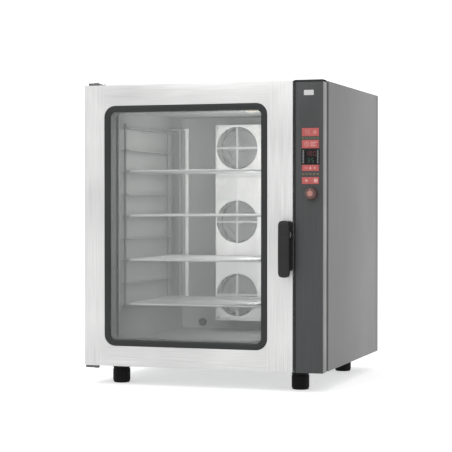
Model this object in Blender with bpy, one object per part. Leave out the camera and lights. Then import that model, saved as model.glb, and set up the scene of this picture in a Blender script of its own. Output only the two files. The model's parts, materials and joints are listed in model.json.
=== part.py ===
"""Combi steamer oven on four levelling feet, as separate sub-parts in one frame.

Metres, +Z up. The origin is on the floor under the middle of the oven, and the door faces -Y.
Lengths inside the body are measured with across(), deep() and up(): from its left side, from the
door's front face and from its underside.
"""

import math

import bmesh
import bpy
from mathutils import Matrix, Vector

# ---- Driving dimensions
WIDTH = 0.930
BODY_HEIGHT = 1.058
BODY_DEPTH = 0.901
FOOT_HEIGHT = 0.072
HANDLE_REACH = 0.052
SERVICE_REACH = 0.027
GAP = 0.0003
SHEET = 0.0015

LEFT = -WIDTH / 2
DOOR_FRONT = HANDLE_REACH - (HANDLE_REACH + BODY_DEPTH + SERVICE_REACH) / 2

# Door and the control column beside it
DOOR_WIDTH = 0.820
DOOR_THICKNESS = 0.0526
DOOR_EDGE_GAP = 0.001
CONTROL_LEFT = 0.823
CONTROL_SILL = 0.0067
FASCIA = 0.003
WINDOW_CENTRE = (0.401, 0.528)
WINDOW_SIZE = (0.640, 0.902)
WINDOW_RADIUS = 0.042
BEZEL_WIDTH = 0.024
CLEAR_SIZE = (WINDOW_SIZE[0] - 2 * BEZEL_WIDTH, WINDOW_SIZE[1] - 2 * BEZEL_WIDTH)
CLEAR_RADIUS = 0.020
OUTER_GLASS = (0.0030, 0.0080)
INNER_GLASS = (0.0590, 0.0640)
INNER_GLASS_SIZE = (0.654, 0.944)

# Cabinet
CABINET_FRONT = 0.080
SIDE_REAR = 0.863
BASE_HEIGHT = 0.040
FRAME_PLATE = 0.002
CAVITY_X = (0.108, 0.702)
CAVITY_Z = (0.085, 0.971)
CAVITY_REAR = 0.785
CAVITY_CENTRE = sum(CAVITY_X) / 2
JACKET = 0.030
GASKET_WIDTH = 0.018

# Hinge line and handle pivot
HINGE = (0.038, 0.028)
PIN_RADIUS = 0.006
HANDLE_PIVOT = (0.796, 0.500)
HANDLE_WIDTH = 0.042
HANDLE_Z = (0.346, 0.551)
HANDLE_PLATE_Z = (0.368, 0.549)
HANDLE_HUB_RADIUS = 0.0195
SPINDLE_RADIUS = 0.005

# Fans
FAN_CENTRE_X = 0.401
FAN_LEVELS = {"bottom": 0.237, "middle": 0.537, "top": 0.839}
FAN_OPENING_RADIUS = 0.087
BAFFLE_X = (0.308, 0.514)
BAFFLE_Z = (0.132, 0.934)
BAFFLE_FRONT = 0.635
WHEEL_RADIUS = 0.074
SHAFT_RADIUS = 0.006

# Racks and shelves
RUNNER_PITCH = 0.085
RUNNER_COUNT = 9
SHELF_LEVELS = (0.223, 0.393, 0.563, 0.733)
SHELF_ROD = 0.008
SHELF_X = (0.126, 0.684)
SHELF_Y = (0.112, 0.612)
RUNNER_SHEET = 0.003

# Control column, each as (left, right), (low, high)
KEYS = {
    "mode_key": ((0.852, 0.915), (0.855, 0.885)),
    "time_key": ((0.852, 0.915), (0.812, 0.842)),
    "steam_key": ((0.852, 0.915), (0.730, 0.752)),
    "start_key": ((0.852, 0.915), (0.683, 0.708)),
}
KEY_PROUD = 0.0012
DISPLAY = ((0.852, 0.915), (0.755, 0.808))
KNOB_CENTRE = (0.8875, 0.649)
KNOB_RADIUS = 0.0225
KNOB_LENGTH = 0.022

# Feet and services
FOOT_RADIUS = 0.033
FOOT_PLACES = {
    "foot_front_left": (0.105, 0.112),
    "foot_front_right": (0.816, 0.112),
    "foot_rear_left": (0.105, 0.760),
    "foot_rear_right": (0.816, 0.760),
}
FLUE_CENTRE = (0.600, 0.715)
FLUE_RADIUS = 0.025
DAMPER_LEVEL = 1.030
DRAIN_CENTRE = (0.200, 0.110)
INLET_CENTRE = (0.640, 0.110)
GLAND_CENTRE = (0.780, 0.110)
LAMP_CENTRE = (0.600, 0.200)

FINISHES = {
    "brushed_steel": ((0.72, 0.72, 0.73), 0.35, 0.9),
    "cabinet_steel": ((0.33, 0.33, 0.335), 0.42, 0.8),
    "zinc_steel": ((0.45, 0.46, 0.47), 0.5, 0.9),
    "cavity_steel": ((0.50, 0.51, 0.51), 0.3, 0.9),
    "black_plastic": ((0.02, 0.02, 0.022), 0.45, 0.0),
    "fascia_grey": ((0.075, 0.076, 0.08), 0.45, 0.3),
    "key_red": ((0.55, 0.16, 0.15), 0.4, 0.0),
    "knob_brown": ((0.10, 0.055, 0.05), 0.4, 0.0),
    "display_black": ((0.01, 0.01, 0.012), 0.1, 0.0),
    "glass": ((0.75, 0.80, 0.79), 0.03, 0.0),
    "rubber": ((0.03, 0.03, 0.03), 0.7, 0.0),
    "insulation": ((0.70, 0.66, 0.50), 0.9, 0.0),
    "heater": ((0.16, 0.14, 0.13), 0.5, 0.8),
    "aluminium": ((0.62, 0.63, 0.64), 0.4, 0.95),
    "board_green": ((0.04, 0.18, 0.08), 0.5, 0.0),
    "brass": ((0.62, 0.46, 0.20), 0.35, 0.95),
    "lamp_glass": ((0.85, 0.83, 0.75), 0.1, 0.0),
}


# ---- Places
def across(distance):
    """X of a place this far from the body's left side."""
    return LEFT + distance


def deep(distance):
    """Y of a place this far behind the door's front face."""
    return DOOR_FRONT + distance


def up(distance):
    """Z of a place this far above the body's underside."""
    return FOOT_HEIGHT + distance


def span(xs, ys, zs):
    """A box as three world ranges, from ranges across, deep and up the body."""
    return (
        tuple(across(x) for x in xs),
        tuple(deep(y) for y in ys),
        tuple(up(z) for z in zs),
    )


def grow(limits, amount):
    """A range made longer by the amount at both ends."""
    return (limits[0] - amount, limits[1] + amount)


# ---- Shared modelling tools
def clear_scene():
    for item in list(bpy.data.objects):
        bpy.data.objects.remove(item, do_unlink=True)


def finish_material(name):
    """The Principled BSDF material of this name, made when it is first asked for."""
    material = bpy.data.materials.get(name)
    if material is None:
        colour, roughness, metallic = FINISHES[name]
        material = bpy.data.materials.new(name)
        material.use_nodes = True
        shader = material.node_tree.nodes["Principled BSDF"]
        shader.inputs["Base Color"].default_value = (*colour, 1.0)
        shader.inputs["Roughness"].default_value = roughness
        shader.inputs["Metallic"].default_value = metallic
        material.diffuse_color = (*colour, 1.0)
    return material


def add_object(name, shape, finish=None):
    """An object that holds the finished bmesh, with its faces pointing out."""
    bmesh.ops.recalc_face_normals(shape, faces=shape.faces)
    mesh = bpy.data.meshes.new(name)
    shape.to_mesh(mesh)
    shape.free()
    item = bpy.data.objects.new(name, mesh)
    bpy.context.collection.objects.link(item)
    if finish:
        mesh.materials.append(finish_material(finish))
    return item


def round_shading(item, angle=math.radians(35)):
    item.data.shade_smooth()
    item.data.set_sharp_from_angle(angle=angle)
    return item


def box_solid(name, boxes, finish, voids=()):
    """One closed solid: the union of axis-aligned boxes, less the voids."""
    cuts = [
        sorted({round(end, 6) for block in (*boxes, *voids) for end in block[axis]})
        for axis in range(3)
    ]

    def holds(blocks, point):
        return any(
            all(low < value < high for (low, high), value in zip(block, point))
            for block in blocks
        )

    def filled(cell):
        if any(index < 0 or index >= len(cuts[axis]) - 1 for axis, index in enumerate(cell)):
            return False
        middle = [(cuts[a][i] + cuts[a][i + 1]) / 2 for a, i in enumerate(cell)]
        return holds(boxes, middle) and not holds(voids, middle)

    shape = bmesh.new()
    corners = {}

    def corner(key):
        if key not in corners:
            corners[key] = shape.verts.new([cuts[a][i] for a, i in enumerate(key)])
        return corners[key]

    counts = [len(cut) - 1 for cut in cuts]
    cells = [
        (i, j, k) for i in range(counts[0]) for j in range(counts[1]) for k in range(counts[2])
    ]
    solid = {cell for cell in cells if filled(cell)}
    for cell in solid:
        for axis in range(3):
            for side in (0, 1):
                neighbour = list(cell)
                neighbour[axis] += 2 * side - 1
                if tuple(neighbour) in solid:
                    continue
                first, second = [a for a in range(3) if a != axis]
                ring = []
                for du, dv in ((0, 0), (1, 0), (1, 1), (0, 1)):
                    key = list(cell)
                    key[axis] += side
                    key[first] += du
                    key[second] += dv
                    ring.append(corner(tuple(key)))
                shape.faces.new(ring)
    bmesh.ops.recalc_face_normals(shape, faces=shape.faces)
    bmesh.ops.dissolve_limit(
        shape, angle_limit=math.radians(1), verts=shape.verts, edges=shape.edges
    )
    return add_object(name, shape, finish)


def on_axis(axis, first, second, along):
    """A point from two coordinates in a plane and one along the axis that crosses it."""
    if axis == "X":
        return Vector((along, first, second))
    if axis == "Y":
        return Vector((first, along, second))
    return Vector((first, second, along))


def add_plate(shape, outline, holes, axis, low, high):
    """Adds a flat piece to a bmesh: an outline with holes, from low to high along the axis."""
    edges = []
    for loop in (outline, *holes):
        ring = [shape.verts.new(on_axis(axis, u, v, low)) for u, v in loop]
        edges += [shape.edges.new(pair) for pair in zip(ring, ring[1:] + ring[:1])]
    filled = bmesh.ops.triangle_fill(shape, use_beauty=True, use_dissolve=False, edges=edges)
    faces = [part for part in filled["geom"] if isinstance(part, bmesh.types.BMFace)]
    raised = bmesh.ops.extrude_face_region(shape, geom=faces)["geom"]
    tops = [part for part in raised if isinstance(part, bmesh.types.BMVert)]
    bmesh.ops.translate(shape, verts=tops, vec=on_axis(axis, 0, 0, high - low))


def plate(name, outline, holes, axis, low, high, finish=None):
    shape = bmesh.new()
    add_plate(shape, outline, holes, axis, low, high)
    return add_object(name, shape, finish)


def arc(centre, radius, start, stop, steps):
    """Points along an arc, angles in degrees."""
    angles = [math.radians(start + (stop - start) * i / steps) for i in range(steps + 1)]
    return [(centre[0] + radius * math.cos(a), centre[1] + radius * math.sin(a)) for a in angles]


def circle(centre, radius, sides=32):
    return arc(centre, radius, 0, 360 * (sides - 1) / sides, sides - 1)


def rounded_rectangle(centre, size, radius, steps=6):
    half_u = size[0] / 2 - radius
    half_v = size[1] / 2 - radius
    points = []
    for sign_u, sign_v, start in ((1, 1, 0), (-1, 1, 90), (-1, -1, 180), (1, -1, 270)):
        middle = (centre[0] + sign_u * half_u, centre[1] + sign_v * half_v)
        points += arc(middle, radius, start, start + 90, steps)
    return points


def rectangle(first, second):
    return [(first[0], second[0]), (first[1], second[0]), (first[1], second[1]), (first[0], second[1])]


def add_turned(shape, profile, centre, axis, sides, ring=False):
    """Adds a turned solid to a bmesh. The profile is (place along the axis, radius) pairs, and a
    ring's profile closes on itself."""
    rows = []
    for along, radius in profile:
        row = []
        for i in range(sides):
            angle = 2 * math.pi * i / sides
            u = centre[0] + radius * math.cos(angle)
            v = centre[1] + radius * math.sin(angle)
            row.append(shape.verts.new(on_axis(axis, u, v, along)))
        rows.append(row)
    pairs = list(zip(rows, rows[1:]))
    if ring:
        pairs.append((rows[-1], rows[0]))
    for lower, upper in pairs:
        for i in range(sides):
            j = (i + 1) % sides
            shape.faces.new((lower[i], lower[j], upper[j], upper[i]))
    if not ring:
        shape.faces.new(rows[0])
        shape.faces.new(rows[-1])


def turned(name, profile, centre, axis, finish=None, sides=24, ring=False):
    shape = bmesh.new()
    add_turned(shape, profile, centre, axis, sides, ring)
    return round_shading(add_object(name, shape, finish))


def tube(name, centre, inner, outer, axis, low, high, finish, sides=24):
    profile = [(low, inner), (low, outer), (high, outer), (high, inner)]
    return turned(name, profile, centre, axis, finish, sides, ring=True)


def round_cutters(name, places, sides=24):
    """Cylinders to drill with, each (axis, centre, radius, low, high), in one guide object."""
    shape = bmesh.new()
    for axis, centre, radius, low, high in places:
        add_turned(shape, [(low, radius), (high, radius)], centre, axis, sides)
    return add_object(name, shape)


def combine(target, guide, operation):
    """Joins the guide to the target, or cuts it away, and leaves the guide out of the model."""
    guide.hide_render = True
    guide.display_type = "WIRE"
    modifier = target.modifiers.new(guide.name, "BOOLEAN")
    modifier.operation = operation
    modifier.object = guide
    modifier.solver = "EXACT"
    return target


def round_edges(item, width, segments=2):
    modifier = item.modifiers.new("edges", "BEVEL")
    modifier.width = width
    modifier.segments = segments
    modifier.limit_method = "ANGLE"
    modifier.angle_limit = math.radians(40)
    return item


def pivot(name, point):
    """An empty on a joint's axis, which carries the pieces that move about it."""
    empty = bpy.data.objects.new(name, None)
    empty.location = point
    bpy.context.collection.objects.link(empty)
    return empty


def carry(empty, pieces):
    for piece in pieces:
        piece.parent = empty
        piece.matrix_parent_inverse = Matrix.Translation(-empty.location)


# ---- Cabinet
def base_frame():
    """Folded tray under the cabinet with two cross rails, and a pad at each foot for its stud."""
    edge = SHEET + GAP
    xs = (edge, WIDTH - edge)
    ys = (CABINET_FRONT + FRAME_PLATE + 2 * GAP, SIDE_REAR - edge)
    rails = []
    for place in (0.300, 0.600):
        rails.append(span(xs, (place, place + SHEET), (0, BASE_HEIGHT)))
    pads = []
    for x, y in FOOT_PLACES.values():
        reach = FOOT_RADIUS - 0.005
        pads.append(span((x - reach, x + reach), (y - reach, y + reach), (0, 0.012)))
    sheets = [
        span(xs, ys, (0, SHEET)),
        *(span(side, ys, (0, BASE_HEIGHT)) for side in ((xs[0], xs[0] + SHEET), (xs[1] - SHEET, xs[1]))),
        *(span(xs, end, (0, BASE_HEIGHT)) for end in ((ys[0], ys[0] + SHEET), (ys[1] - SHEET, ys[1]))),
    ]
    tray = box_solid("base_frame", [*sheets, *rails, *pads], "zinc_steel")
    stud_radius = 0.008 + GAP
    holes = [
        ("Z", (across(x), deep(y)), stud_radius, up(-0.01), up(0.030)) for x, y in FOOT_PLACES.values()
    ]
    return combine(tray, round_cutters("foot_holes", holes, 16), "DIFFERENCE")


def foot(name, place):
    """Round levelling foot with a stud that screws into the base."""
    profile = [
        (0, FOOT_RADIUS - 0.003),
        (0.003, FOOT_RADIUS),
        (FOOT_HEIGHT - 0.006, FOOT_RADIUS),
        (FOOT_HEIGHT - GAP, FOOT_RADIUS - 0.002),
        (FOOT_HEIGHT - GAP, 0.008),
        (FOOT_HEIGHT + 0.026, 0.008),
    ]
    return turned(name, profile, (across(place[0]), deep(place[1])), "Z", "black_plastic", 20)


def side_panel(name, outer, inward):
    """Folded side sheet with a return at its front and rear edges."""
    skin = (outer, outer + inward * SHEET)
    fold = (outer, outer + inward * 0.016)
    low, high = 0, BODY_HEIGHT - SHEET - GAP
    boxes = [
        span(sorted(skin), (CABINET_FRONT, SIDE_REAR), (low, high)),
        span(sorted(fold), (SIDE_REAR - SHEET, SIDE_REAR), (low, high)),
    ]
    return box_solid(name, boxes, "cabinet_steel")


def top_cover():
    """Lid sheet with turned-down edges inside the side panels."""
    lid = span((0, WIDTH), (CABINET_FRONT, SIDE_REAR), (BODY_HEIGHT - SHEET, BODY_HEIGHT))
    lips = [
        span((0.0025, WIDTH - 0.0025), (start, start + SHEET), (BODY_HEIGHT - 0.020, BODY_HEIGHT))
        for start in (CABINET_FRONT + FRAME_PLATE + 2 * GAP, SIDE_REAR - 2 * SHEET - GAP)
    ]
    cover = box_solid("top_cover", [lid, *lips], "cabinet_steel")
    hole = ("Z", (across(FLUE_CENTRE[0]), deep(FLUE_CENTRE[1])), FLUE_RADIUS + GAP, up(1.05), up(1.07))
    return combine(cover, round_cutters("flue_hole_in_lid", [hole]), "DIFFERENCE")


def rear_cover():
    """Rear pan with louvre slots and the holes for the services."""
    ys = (SIDE_REAR + GAP, BODY_DEPTH)
    whole = span((0, WIDTH), ys, (0, BODY_HEIGHT))
    inside = span((SHEET, WIDTH - SHEET), (0, BODY_DEPTH - SHEET), (SHEET, BODY_HEIGHT - SHEET))
    slots = []
    for left in (0.130, 0.560):
        for level in range(8):
            low = 0.640 + 0.040 * level
            slots.append(span((left, left + 0.240), (BODY_DEPTH - 0.01, 1), (low, low + 0.010)))
    cover = box_solid("rear_cover", [whole], "cabinet_steel", [inside, *slots])
    places = ((DRAIN_CENTRE, 0.0203), (INLET_CENTRE, 0.0143), (GLAND_CENTRE, 0.0133))
    holes = [
        ("Y", (across(x), up(z)), radius, deep(0.890), deep(0.910)) for (x, z), radius in places
    ]
    return combine(cover, round_cutters("service_holes", holes), "DIFFERENCE")


def front_frame():
    """Plate around the oven mouth, behind the door."""
    edge = SHEET + GAP
    border = rectangle((edge, WIDTH - edge), (GAP, BODY_HEIGHT - edge))
    outline = [(across(u), up(v)) for u, v in border]
    size = (CAVITY_X[1] - CAVITY_X[0], CAVITY_Z[1] - CAVITY_Z[0])
    centre = (across(CAVITY_CENTRE), up(sum(CAVITY_Z) / 2))
    mouth = rounded_rectangle(centre, size, 0.012, 3)
    pass_through = [(across(u), up(v)) for u, v in rectangle((0.850, 0.900), (0.600, 0.900))]
    low = deep(CABINET_FRONT)
    high = low + FRAME_PLATE
    return plate("front_frame", outline, [mouth, pass_through], "Y", low, high, "brushed_steel")


def liner_holes(name, shaft_radius, drain_radius, lamp_radius, flue_radius):
    """Cutters for the fan shafts, drain, lamp and flue, through the liner or its jacket."""
    rear = (deep(0.775), deep(0.830))
    top = (up(0.960), up(1.015))
    holes = [
        ("Y", (across(FAN_CENTRE_X), up(level)), shaft_radius, *rear) for level in FAN_LEVELS.values()
    ]
    holes.append(("Y", (across(DRAIN_CENTRE[0]), up(DRAIN_CENTRE[1])), drain_radius, *rear))
    holes.append(("Z", (across(LAMP_CENTRE[0]), deep(LAMP_CENTRE[1])), lamp_radius, *top))
    holes.append(("Z", (across(FLUE_CENTRE[0]), deep(FLUE_CENTRE[1])), flue_radius, *top))
    return round_cutters(name, holes, 16)


def cavity_liner():
    """Oven chamber, open at the front."""
    front = CABINET_FRONT + FRAME_PLATE + GAP
    outside = span(grow(CAVITY_X, SHEET), (front, CAVITY_REAR + SHEET), grow(CAVITY_Z, SHEET))
    inside = span(CAVITY_X, (0, CAVITY_REAR), CAVITY_Z)
    liner = box_solid("cavity_liner", [outside], "cavity_steel", [inside])
    return combine(liner, liner_holes("liner_holes", 0.010, 0.0175, 0.030, 0.022), "DIFFERENCE")


def insulation_jacket():
    """Mineral wool slab around the chamber."""
    front = CABINET_FRONT + FRAME_PLATE + 2 * GAP + 0.004
    rear = CAVITY_REAR + SHEET + GAP
    skin = SHEET + GAP
    outside = span(grow(CAVITY_X, skin + JACKET), (front, rear + JACKET), grow(CAVITY_Z, skin + JACKET))
    inside = span(grow(CAVITY_X, skin), (0, rear), grow(CAVITY_Z, skin))
    jacket = box_solid("insulation_jacket", [outside], "insulation", [inside])
    return combine(jacket, liner_holes("jacket_holes", 0.0283, 0.0205, 0.0305, 0.0255), "DIFFERENCE")


def door_gasket():
    """Rubber seal ring between the front plate and the door's inner glass."""
    centre = (across(CAVITY_CENTRE), up(sum(CAVITY_Z) / 2))
    inner = [CAVITY_X[1] - CAVITY_X[0] + 0.004, CAVITY_Z[1] - CAVITY_Z[0] + 0.004]
    outer = [side + 2 * GASKET_WIDTH for side in inner]
    low, high = deep(INNER_GLASS[1] + GAP), deep(CABINET_FRONT - GAP)
    ring = rounded_rectangle(centre, outer, 0.030, 4)
    hole = rounded_rectangle(centre, inner, 0.012, 4)
    return plate("door_gasket", ring, [hole], "Y", low, high, "rubber")


# ---- Fans
def fan_baffle():
    """Hood over the fans, with a cross in each intake and slots down both sides."""
    rear = CAVITY_REAR - GAP
    whole = span(BAFFLE_X, (BAFFLE_FRONT, rear), BAFFLE_Z)
    inside = span(grow(BAFFLE_X, -SHEET), (BAFFLE_FRONT + SHEET, 1), grow(BAFFLE_Z, -SHEET))
    slots = []
    for level in FAN_LEVELS.values():
        for ys in ((0.670, 0.705), (0.725, 0.760)):
            slots.append(span((0, 1), ys, (level - 0.085, level + 0.085)))
    hood = box_solid("fan_baffle", [whole], "cavity_steel", [inside, *slots])
    quarters = bmesh.new()
    bar = 0.005
    for level in FAN_LEVELS.values():
        middle = (across(FAN_CENTRE_X), up(level))
        lean = math.degrees(math.asin(bar / FAN_OPENING_RADIUS))
        for turn in (0, 90, 180, 270):
            corner = math.sqrt(2) * bar
            point = arc(middle, corner, turn + 45, turn + 46, 1)[:1]
            rim = arc(middle, FAN_OPENING_RADIUS, turn + lean, turn + 90 - lean, 6)
            add_plate(quarters, point + rim, [], "Y", deep(BAFFLE_FRONT - 0.01), deep(BAFFLE_FRONT + 0.01))
    return combine(hood, add_object("intake_cutters", quarters), "DIFFERENCE")


def fan_wheel(name, level):
    """Radial wheel on its shaft: a back disc with straight blades."""
    centre = (across(FAN_CENTRE_X), up(level))
    disc_y = (deep(0.716), deep(0.719))
    wheel = turned(
        name,
        [
            (deep(0.660), SHAFT_RADIUS),
            (deep(0.675), 0.014),
            (disc_y[0], 0.014),
            (disc_y[0], WHEEL_RADIUS),
            (disc_y[1], WHEEL_RADIUS),
            (disc_y[1], SHAFT_RADIUS),
            (deep(0.850), SHAFT_RADIUS),
        ],
        centre,
        "Y",
        "aluminium",
        20,
    )
    blades = bmesh.new()
    blade_count = 8
    half = math.degrees(math.asin(0.0012 / WHEEL_RADIUS))
    root, tip = 0.0145, WHEEL_RADIUS - 0.001
    outline = []
    for i in range(blade_count):
        turn = 360 / blade_count * i
        for radius, lean in ((root, -5), (tip, -half), (tip, half), (root, 5)):
            outline += arc(centre, radius, turn + lean, turn + lean + 1, 1)[:1]
    hub = circle(centre, 0.012, 12)
    add_plate(blades, outline, [hub], "Y", deep(0.680), disc_y[0] + 0.001)
    return combine(wheel, add_object(name + "_blades", blades), "UNION")


def heater_ring(name, level):
    """Tubular heating ring around a fan wheel, with two leads to a plate on the rear wall."""
    centre = Vector((across(FAN_CENTRE_X), deep(0.700), up(level)))
    ring_radius, tube_radius, sides, tube_sides = 0.0860, 0.0042, 24, 6
    shape = bmesh.new()
    rows = []
    for i in range(sides):
        turn = 2 * math.pi * i / sides
        row = []
        for j in range(tube_sides):
            lean = 2 * math.pi * j / tube_sides
            reach = ring_radius + tube_radius * math.cos(lean)
            offset = (reach * math.cos(turn), tube_radius * math.sin(lean), reach * math.sin(turn))
            row.append(shape.verts.new(centre + Vector(offset)))
        rows.append(row)
    for i, row in enumerate(rows):
        following = rows[(i + 1) % sides]
        for j in range(tube_sides):
            k = (j + 1) % tube_sides
            shape.faces.new((row[j], row[k], following[k], following[j]))
    ring = round_shading(add_object(name, shape, "heater"))
    leads = bmesh.new()
    for side in (-0.012, 0.012):
        place = (centre.x + side, centre.z - ring_radius + 0.001)
        add_turned(leads, [(deep(0.699), 0.0038), (deep(0.779), 0.0038)], place, "Y", 8)
    combine(ring, add_object(name + "_leads", leads), "UNION")
    foot_plate = box_solid(
        name + "_plate",
        [
            (
                (centre.x - 0.024, centre.x + 0.024),
                (deep(0.778), deep(CAVITY_REAR - GAP)),
                (centre.z - ring_radius - 0.009, centre.z - ring_radius + 0.011),
            )
        ],
        None,
    )
    return combine(ring, foot_plate, "UNION")


def fan_motor(name, level):
    """Motor behind the chamber, with a neck through the insulation and a bore for the shaft."""
    neck, body, bore = 0.028, 0.055, SHAFT_RADIUS + GAP
    back = 0.894
    profile = [
        (deep(CAVITY_REAR + SHEET + GAP), bore),
        (deep(CAVITY_REAR + SHEET + GAP), neck),
        (deep(0.820), neck),
        (deep(0.820), body),
        (deep(back - 0.006), body),
        (deep(back), body - 0.008),
        (deep(back), 0.010),
        (deep(0.860), 0.010),
        (deep(0.860), bore),
    ]
    return turned(name, profile, (across(FAN_CENTRE_X), up(level)), "Y", "aluminium", 16, ring=True)


# ---- Racks and shelves
def runner_levels():
    return [SHELF_LEVELS[0] + RUNNER_PITCH * i - GAP for i in range(RUNNER_COUNT)]


def tray_rack(name, side):
    """Side rack: two uprights, runner ledges and a rear stop. Side is 1 on the left, -1 on the right."""
    low, high = 0.213, 0.920
    ys = (0.106, 0.632)

    def placed(xs, ys_here, zs):
        if side < 0:
            xs = (2 * CAVITY_CENTRE - xs[1], 2 * CAVITY_CENTRE - xs[0])
        return span(xs, ys_here, zs)

    wall = (CAVITY_X[0] + 0.002, CAVITY_X[0] + 0.010)
    boxes = [placed(wall, limits, (low, high)) for limits in ((0.130, 0.140), (0.600, ys[1]))]
    for level in runner_levels():
        boxes.append(placed((wall[0], 0.140), (ys[0], 0.614), (level - RUNNER_SHEET, level)))
    for zs in ((low, low + 0.008), (0.563, 0.571), (high - 0.008, high)):
        boxes.append(placed((wall[0], 0.192), (0.624, 0.632), zs))
    boxes.append(placed((0.153, 0.160), (0.624, 0.632), (low, high)))
    boxes.append(placed((0.180, 0.192), (0.624, 0.632), (low, high)))
    return box_solid(name, boxes, "cavity_steel")


def wire_shelf(name, level):
    """Wire grid that slides on a pair of runners."""
    slots = []
    count = 12
    wire = 0.005
    inner = grow(SHELF_X, -SHELF_ROD)
    ys = grow(SHELF_Y, -SHELF_ROD)
    step = (inner[1] - inner[0] + wire) / count
    for i in range(count):
        left = inner[0] + step * i
        slots.append(span((left, left + step - wire), ys, (level - 0.01, level + 0.02)))
    return box_solid(name, [span(SHELF_X, SHELF_Y, (level, level + SHELF_ROD))], "cavity_steel", slots)


# ---- Door
def hinge_plate(name, low, high, xs):
    """Steel plate with a broad nose around the hinge pin and an arm back to the cabinet."""
    left, right = xs
    nose_end, arm_right = 0.040, left + 0.022
    corners = [
        (left, 0.008),
        (right, 0.008),
        (right, nose_end - 0.016),
        (right - 0.012, nose_end),
        (arm_right, nose_end),
        (arm_right, 0.150),
        (left, 0.150),
    ]
    outline = [(across(x), deep(y)) for x, y in corners]
    hole = circle((across(HINGE[0]), deep(HINGE[1])), PIN_RADIUS + GAP, 16)
    return plate(name, outline, [hole], "Z", up(low), up(high), "zinc_steel")


def hinge_pin(name, end, shoulder, head_end):
    """Pin from inside the door to a head outside the plate."""
    head_radius = PIN_RADIUS + 0.003
    profile = [
        (up(end), PIN_RADIUS),
        (up(shoulder), PIN_RADIUS),
        (up(shoulder), head_radius),
        (up(head_end), head_radius),
    ]
    return turned(name, profile, (across(HINGE[0]), deep(HINGE[1])), "Z", "zinc_steel", 16)


def hinge_bush(name, inner_end, door_face, flange_end):
    """Flanged bush in the door, around the pin."""
    bore = PIN_RADIUS + GAP
    profile = [
        (up(inner_end), bore),
        (up(inner_end), 0.010),
        (up(door_face), 0.010),
        (up(door_face), 0.013),
        (up(flange_end), 0.013),
        (up(flange_end), bore),
    ]
    return turned(name, profile, (across(HINGE[0]), deep(HINGE[1])), "Z", "brass", 16, ring=True)


def window_centre():
    return (across(WINDOW_CENTRE[0]), up(WINDOW_CENTRE[1]))


def door_frame():
    """Outer door pan, open at the back, with the window opening."""
    centre = window_centre()
    zs = (DOOR_EDGE_GAP, BODY_HEIGHT - DOOR_EDGE_GAP)
    back = DOOR_THICKNESS - SHEET - GAP
    outline = rectangle((across(0), across(DOOR_WIDTH)), (up(zs[0]), up(zs[1])))
    opening = rounded_rectangle(centre, WINDOW_SIZE, WINDOW_RADIUS)
    pan = plate("door_frame", outline, [opening], "Y", deep(0), deep(back), "brushed_steel")
    pocket_edge = rectangle(
        (across(SHEET), across(DOOR_WIDTH - SHEET)), (up(zs[0] + SHEET), up(zs[1] - SHEET))
    )
    wall = [side + 2 * SHEET for side in WINDOW_SIZE]
    island = rounded_rectangle(centre, wall, WINDOW_RADIUS + SHEET)
    pocket = plate("door_pocket", pocket_edge, [island], "Y", deep(SHEET), deep(back + 0.01))
    combine(pan, pocket, "DIFFERENCE")
    hinge = (across(HINGE[0]), deep(HINGE[1]))
    holes = [
        ("Z", hinge, 0.0103, up(-0.01), up(0.02)),
        ("Z", hinge, 0.0103, up(BODY_HEIGHT - 0.02), up(BODY_HEIGHT + 0.01)),
        ("Y", (across(HANDLE_PIVOT[0]), up(HANDLE_PIVOT[1])), 0.0065, deep(-0.01), deep(0.01)),
    ]
    return combine(pan, round_cutters("door_holes", holes, 20), "DIFFERENCE")


def door_rear_frame():
    """Closing plate of the door, with a reveal around the window from pane to pane."""
    centre = window_centre()
    edge = SHEET + 2 * GAP
    outline = rectangle(
        (across(GAP), across(DOOR_WIDTH - GAP)),
        (up(DOOR_EDGE_GAP + edge), up(BODY_HEIGHT - DOOR_EDGE_GAP - edge)),
    )
    opening = rounded_rectangle(centre, CLEAR_SIZE, CLEAR_RADIUS, 4)
    spindle_hole = circle((across(HANDLE_PIVOT[0]), up(HANDLE_PIVOT[1])), 0.0065, 16)
    rear = plate(
        "door_rear_frame",
        outline,
        [opening, spindle_hole],
        "Y",
        deep(DOOR_THICKNESS - SHEET),
        deep(DOOR_THICKNESS),
        "cavity_steel",
    )
    wall = [side + 2 * SHEET for side in CLEAR_SIZE]
    sleeve = rounded_rectangle(centre, wall, CLEAR_RADIUS + SHEET, 4)
    low, high = deep(OUTER_GLASS[1] + GAP), deep(INNER_GLASS[0] - GAP)
    return combine(rear, plate("window_reveal", sleeve, [opening], "Y", low, high), "UNION")


def window_trim():
    """Black bezel around the window, ahead of the outer pane."""
    centre = window_centre()
    outline = rounded_rectangle(centre, [side - 2 * GAP for side in WINDOW_SIZE], WINDOW_RADIUS)
    hole = rounded_rectangle(centre, CLEAR_SIZE, CLEAR_RADIUS)
    low, high = deep(-0.001), deep(OUTER_GLASS[0] - GAP)
    return plate("window_trim", outline, [hole], "Y", low, high, "black_plastic")


def pane(name, centre, size, radius, ys):
    outline = rounded_rectangle(centre, size, radius)
    return plate(name, outline, [], "Y", deep(ys[0]), deep(ys[1]), "glass")


def handle_base():
    """Long plate on the door with a raised rosette, which carries the handle's spindle."""
    x, z = across(HANDLE_PIVOT[0]), up(HANDLE_PIVOT[1])
    plate_centre = (x + 0.001, up(sum(HANDLE_PLATE_Z) / 2))
    plate_size = (HANDLE_WIDTH, HANDLE_PLATE_Z[1] - HANDLE_PLATE_Z[0])
    outline = rounded_rectangle(plate_centre, plate_size, 0.010)
    base = plate("handle_base", outline, [], "Y", deep(-0.0060), deep(-GAP), "black_plastic")
    rosette = round_cutters("rosette", [("Y", (x, z), HANDLE_HUB_RADIUS, deep(-0.0127), deep(-0.003))], 24)
    combine(base, rosette, "UNION")
    bore = ("Y", (x, z), SPINDLE_RADIUS + GAP, deep(-0.02), deep(0.01))
    return combine(base, round_cutters("base_bore", [bore], 16), "DIFFERENCE")


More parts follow.
